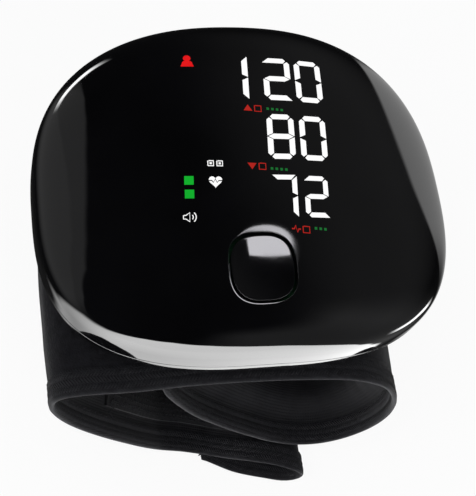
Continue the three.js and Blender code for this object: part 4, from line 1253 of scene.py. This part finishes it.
def tape_skin(route, inward):
    """A braid folded round an edge. The route holds (run, along) pairs of the edge, and inward
    points into the band."""
    rings, places = [], []
    for edge, way, low in zip(route, inward, tape_foot(route, inward)):
        half, inside = low / 2, tape_thickness - tape_chamfer / 2
        section = [(tape_width, inside), (tape_width, tape_chamfer)]
        section += [(width, 0) for width in across_tape[::-1]]
        section += [(across_tape[0] - tape_fold * math.sin(turn), half - half * math.cos(turn))
                    for turn in np.radians((30, 60, 90, 120, 150))]
        section += [(width, low) for width in across_tape]
        section += [(tape_width, low - tape_chamfer), (tape_width, low - inside)]
        section += [(width, low - tape_thickness) for width in across_tape[3:0:-1]]
        section += [(0.9, half), *((width, tape_thickness) for width in across_tape[1:4])]
        spots = np.array(section)
        run, along = (edge + np.outer(spots[:, 0], way)).T
        rings.append(on_band(run, along, spots[:, 1]))
        round_it = np.cumsum(np.abs(np.diff(spots, axis=0, prepend=0)).sum(1))
        places.append(np.column_stack([np.full(len(spots), edge.sum()), round_it]))
    return skin(rings, "flat"), np.vstack(places)


def edge_route(part, edge):
    """Places along one edge of a part of the sleeve, with the way into the band."""
    start, end = sleeve_parts[part]
    side, into = (0.0, 1.0) if edge == "front" else (band_width, -1.0)
    count = int((end - start) / edge_step)
    if part != "curl":
        route = [(run, side) for run in np.linspace(start, end, count + 1)]
        return np.array(route), np.array([(0.0, into)] * len(route))
    route = [(run, side) for run in np.linspace(start, path_length - curl_corner, count)]
    inward = [(0.0, into)] * count
    for angle in np.radians(np.linspace(0, 90, 9)[1:]):
        route.append((path_length - curl_corner * (1 - math.sin(angle)),
                      side + into * curl_corner * (1 - math.cos(angle))))
        inward.append((-math.sin(angle), into * math.cos(angle)))
    steps = np.linspace(side + into * curl_corner, band_width / 2 - into * 0.02, 24)[1:]
    route += [(path_length, step) for step in steps]
    return np.array(route), np.array(inward + [(-1.0, 0.0)] * len(steps))


tape_nodes = {"left": ("strap_edge_tape_front", "strap_edge_tape_rear"),
              "turn": ("edge_tape_centre_front", "edge_tape_centre_rear"),
              "curl": ("curl_edge_tape",)}
tape_edges = [(part, edge, tape_nodes[part][number:number + 1])
              for part in sleeve_parts for number, edge in enumerate(("front", "rear"))]
for part, edge, nodes in tape_edges:
    braid, places = tape_skin(*edge_route(part, edge))
    tape = make_piece(f"edge_tape_{part}_{edge}", [braid], tape_cloth, places, crease=50)
    settle(tape, sleeve_bodies[part], "edge_tape", *nodes)

# Ribs of the braid, and the stitches: each is a small bead of yarn, set along lines on the
# cloth. One tree sets them out, turned by a given angle to the line.
bead_tree, given = growing_tree("yarn_along_line", "Spacing", "Length", "Width", "Height", "Turn")
line = step_of(bead_tree, "GeometryNodeMeshToCurve", {"Mesh": given["Geometry"]})
spots = step_of(bead_tree, "GeometryNodeResampleCurve",
                {"Curve": line, "Length": given["Spacing"]}, mode="LENGTH")
facing = step_of(bead_tree, "GeometryNodeInputNamedAttribute", {"Name": "facing"},
                 data_type="FLOAT_VECTOR")
stand_up = step_of(bead_tree, "FunctionNodeAlignRotationToVector", {"Vector": facing}, axis="Z")
tangent = step_of(bead_tree, "GeometryNodeInputTangent")
lie_along = step_of(bead_tree, "FunctionNodeAlignRotationToVector",
                    {"Rotation": stand_up, "Vector": tangent}, axis="X", pivot_axis="Z")
turn = step_of(bead_tree, "ShaderNodeCombineXYZ", {"Z": given["Turn"]})
turn_by = step_of(bead_tree, "FunctionNodeEulerToRotation", {"Euler": turn})
turned = step_of(bead_tree, "FunctionNodeRotateRotation",
                 {"Rotation": lie_along, "Rotate By": turn_by}, rotation_space="LOCAL")
bead_size = step_of(bead_tree, "ShaderNodeCombineXYZ",
                    {"X": given["Length"], "Y": given["Width"], "Z": given["Height"]})
bead = step_of(bead_tree, "GeometryNodeMeshUVSphere", {"Segments": 6, "Rings": 4, "Radius": 0.5})
end_tree(bead_tree, given, {"Points": spots, "Instance": bead, "Rotation": turned,
                            "Scale": bead_size})


def band_line(runs, alongs, depth, side):
    """A line of band places (run, along, depth, side). The side is 1 on the outer face and -1 on
    the inner one."""
    return np.column_stack(np.broadcast_arrays(runs, alongs, depth, float(side)))


def yarn(name, lines, spacing, size, turn, finish):
    """Beads of yarn along lines of band places."""
    points, edges, facing = [], [], []
    for stretch in lines:
        shift = len(points)
        points += on_band(*stretch[:, :3].T, yarn_floor).tolist()
        facing += (outward_at(at_of(stretch[:, 0])) * stretch[:, 3:]).tolist()
        edges += [(shift + i, shift + i + 1) for i in range(len(stretch) - 1)]
    settings = {"Spacing": spacing * MM, "Turn": turn, "Finish": finish}
    for label, length in zip(("Length", "Width", "Height"), size):
        settings[label] = length * MM
    return grow(name, points, edges, bead_tree, settings, facing)


def join_pieces(name, pieces):
    whole, mesh = bmesh.new(), bpy.data.meshes.new(name)
    for piece in pieces:
        whole.from_mesh(piece.data)
    whole.to_mesh(mesh)
    whole.free()
    for material in pieces[0].data.materials:
        mesh.materials.append(material)
    mesh.shade_smooth()
    for piece in pieces:
        bpy.data.objects.remove(piece)
    return add_object(name, mesh)


rib_yarn = cloth_finish("rib_yarn", 0.8, 0.05, 0.3, 0.2,
                        ("Base Color", "Noise", 1100, (0.005, 0.005, 0.006),
                         (0.013, 0.013, 0.015), {"Detail": 3.0}),
                        ("Bump", "Wave", 1500, 0.3, 0.04))
rib_spacing, rib_size, rib_turn = 0.62, (1.7, 0.42, 0.24), math.radians(52)
for part, edge, _ in tape_edges:
    route, inward = edge_route(part, edge)
    low = tape_foot(route, inward)
    groups = {1: [], -1: []}
    for distance, sign in ((1.3, 1), (2.65, -1), (4.0, 1)):
        spots = (route + inward * distance).T
        groups[sign].append(band_line(*spots, 0.0, 1))
        groups[-sign].append(band_line(*spots, low, -1))
    rows = [yarn(f"ribs_{sign}", lines, rib_spacing, rib_size, sign * rib_turn, rib_yarn)
            for sign, lines in groups.items()]
    settle(join_pieces(f"edge_ribs_{part}_{edge}", rows), sleeve_bodies[part], "edge_tape")

thread = cloth_finish("sewing_thread", 0.85, 0.02, 0.5, 0.12,
                      ("Base Color", "Noise", 1500, (0.005, 0.005, 0.006),
                       (0.011, 0.011, 0.013), {"Detail": 2.0}),
                      ("Bump", "Wave", 1800, 0.5, 0.05, {"bands_direction": "DIAGONAL"}))
stitch_spacing, stitch_size, seam_margin, from_joint = 2.6, (2.0, 0.3, 0.22), 5.4, 1.6


def seam_line(run_range, along_range, count, depth, side):
    runs, alongs = np.linspace(*run_range, count), np.linspace(*along_range, count)
    return band_line(runs, alongs, depth(runs, alongs), side)


def cross_seam(run, depth, side, margin=seam_margin):
    return seam_line((run, run), (margin, band_width - margin), 40, depth, side)


curl_seam, turn_seam = sleeve_parts["curl"][0] + from_joint, sleeve_parts["turn"][1] - from_joint
cross_seams = {
    "curl": [cross_seam(curl_seam, inner_depth, -1), cross_seam(curl_seam, cover_depth, 1)],
    "turn": [cross_seam(turn_seam, inner_depth, -1), cross_seam(turn_seam, cover_depth, 1)],
    "left": [cross_seam(loop_start_run + 1.5, inner_depth, -1),
             cross_seam(loop_start_run + 4.0, inner_depth, -1),
             cross_seam(run_of(11.2), cover_depth, 1),
             cross_seam(strap_seam_run, shifted(inner_depth, 0.05), -1, 4.0)]}
for part in sleeve_parts:
    lines = []
    for route, inward in (edge_route(part, "front"), edge_route(part, "rear")):
        spots = (route + inward * (tape_width - 0.55)).T
        low = tape_foot(route, inward) + 0.02
        lines += [band_line(*spots, -0.02, 1), band_line(*spots, low, -1)]
    stitches = yarn(f"stitches_{part}", lines + cross_seams[part], stitch_spacing, stitch_size, 0.0,
                    thread)
    settle(stitches, sleeve_bodies[part], "edge_tape")

# Hook patch: a strip of hook tape sewn on the inner face of the strap, that grips the pile of
# the curl. A zigzag seam holds its upper end.
hook_runs, hook_inset, hook_spacing = tuple(run_of([9.2, 16.0])), 7.0, 1.3
hook_start, hook_end = hook_runs
hook_base = cloth_finish("hook_base", 0.8, 0.02, 0.5, 0.1,
                         ("Base Color", "Voronoi", 900, (0.004, 0.004, 0.005),
                          (0.009, 0.009, 0.010), {"span": (0.1, 0.5)}),
                         ("Bump", "Voronoi", 900, 0.5, 0.2))
hook_under = shifted(inner_depth, 0.62)
hook_patch = layer_piece("hook_patch_base", hook_runs, shifted(inner_depth, 0.05), hook_under,
                         hook_inset, hook_base, steps=(1.2, 1.8))
settle(hook_patch, "strap", "hook_fabric", "hook_patch")
hook_alongs = np.arange(hook_inset + 1.5, band_width - hook_inset - 1.2, hook_spacing)
hook_rows = np.arange(hook_start + 1.5, hook_end - 1.2, hook_spacing)
hook_lines = [band_line(run, hook_alongs, hook_under(run, hook_alongs) + 0.2, -1)
              for run in hook_rows]
hooks = yarn("hook_patch_hooks", hook_lines, hook_spacing, (0.34, 0.34, 0.75), 0.0, hook_base)
settle(hooks, "strap", "hook_fabric")
zigzag_alongs = np.arange(4.6, band_width - 4.4, 1.1)
zigzag_runs = patch_seam_run + np.where(np.arange(len(zigzag_alongs)) % 2 == 0, -0.9, 0.9)
zigzag = band_line(zigzag_runs, zigzag_alongs, hook_under(zigzag_runs, zigzag_alongs) + 0.1, -1)
border = [seam_line((hook_start + 1.0, hook_end - 2.0), (side, side), 60,
                    shifted(hook_under, 0.06), -1)
          for side in (hook_inset + 0.9, band_width - hook_inset - 0.9)]
patch_seams = join_pieces("hook_patch_seams", [
    yarn("zigzag", [zigzag], 0.7, (0.85, 0.3, 0.26), 0.0, thread),
    yarn("border", border, stitch_spacing, stitch_size, 0.0, thread)])
settle(patch_seams, "strap", "edge_tape")
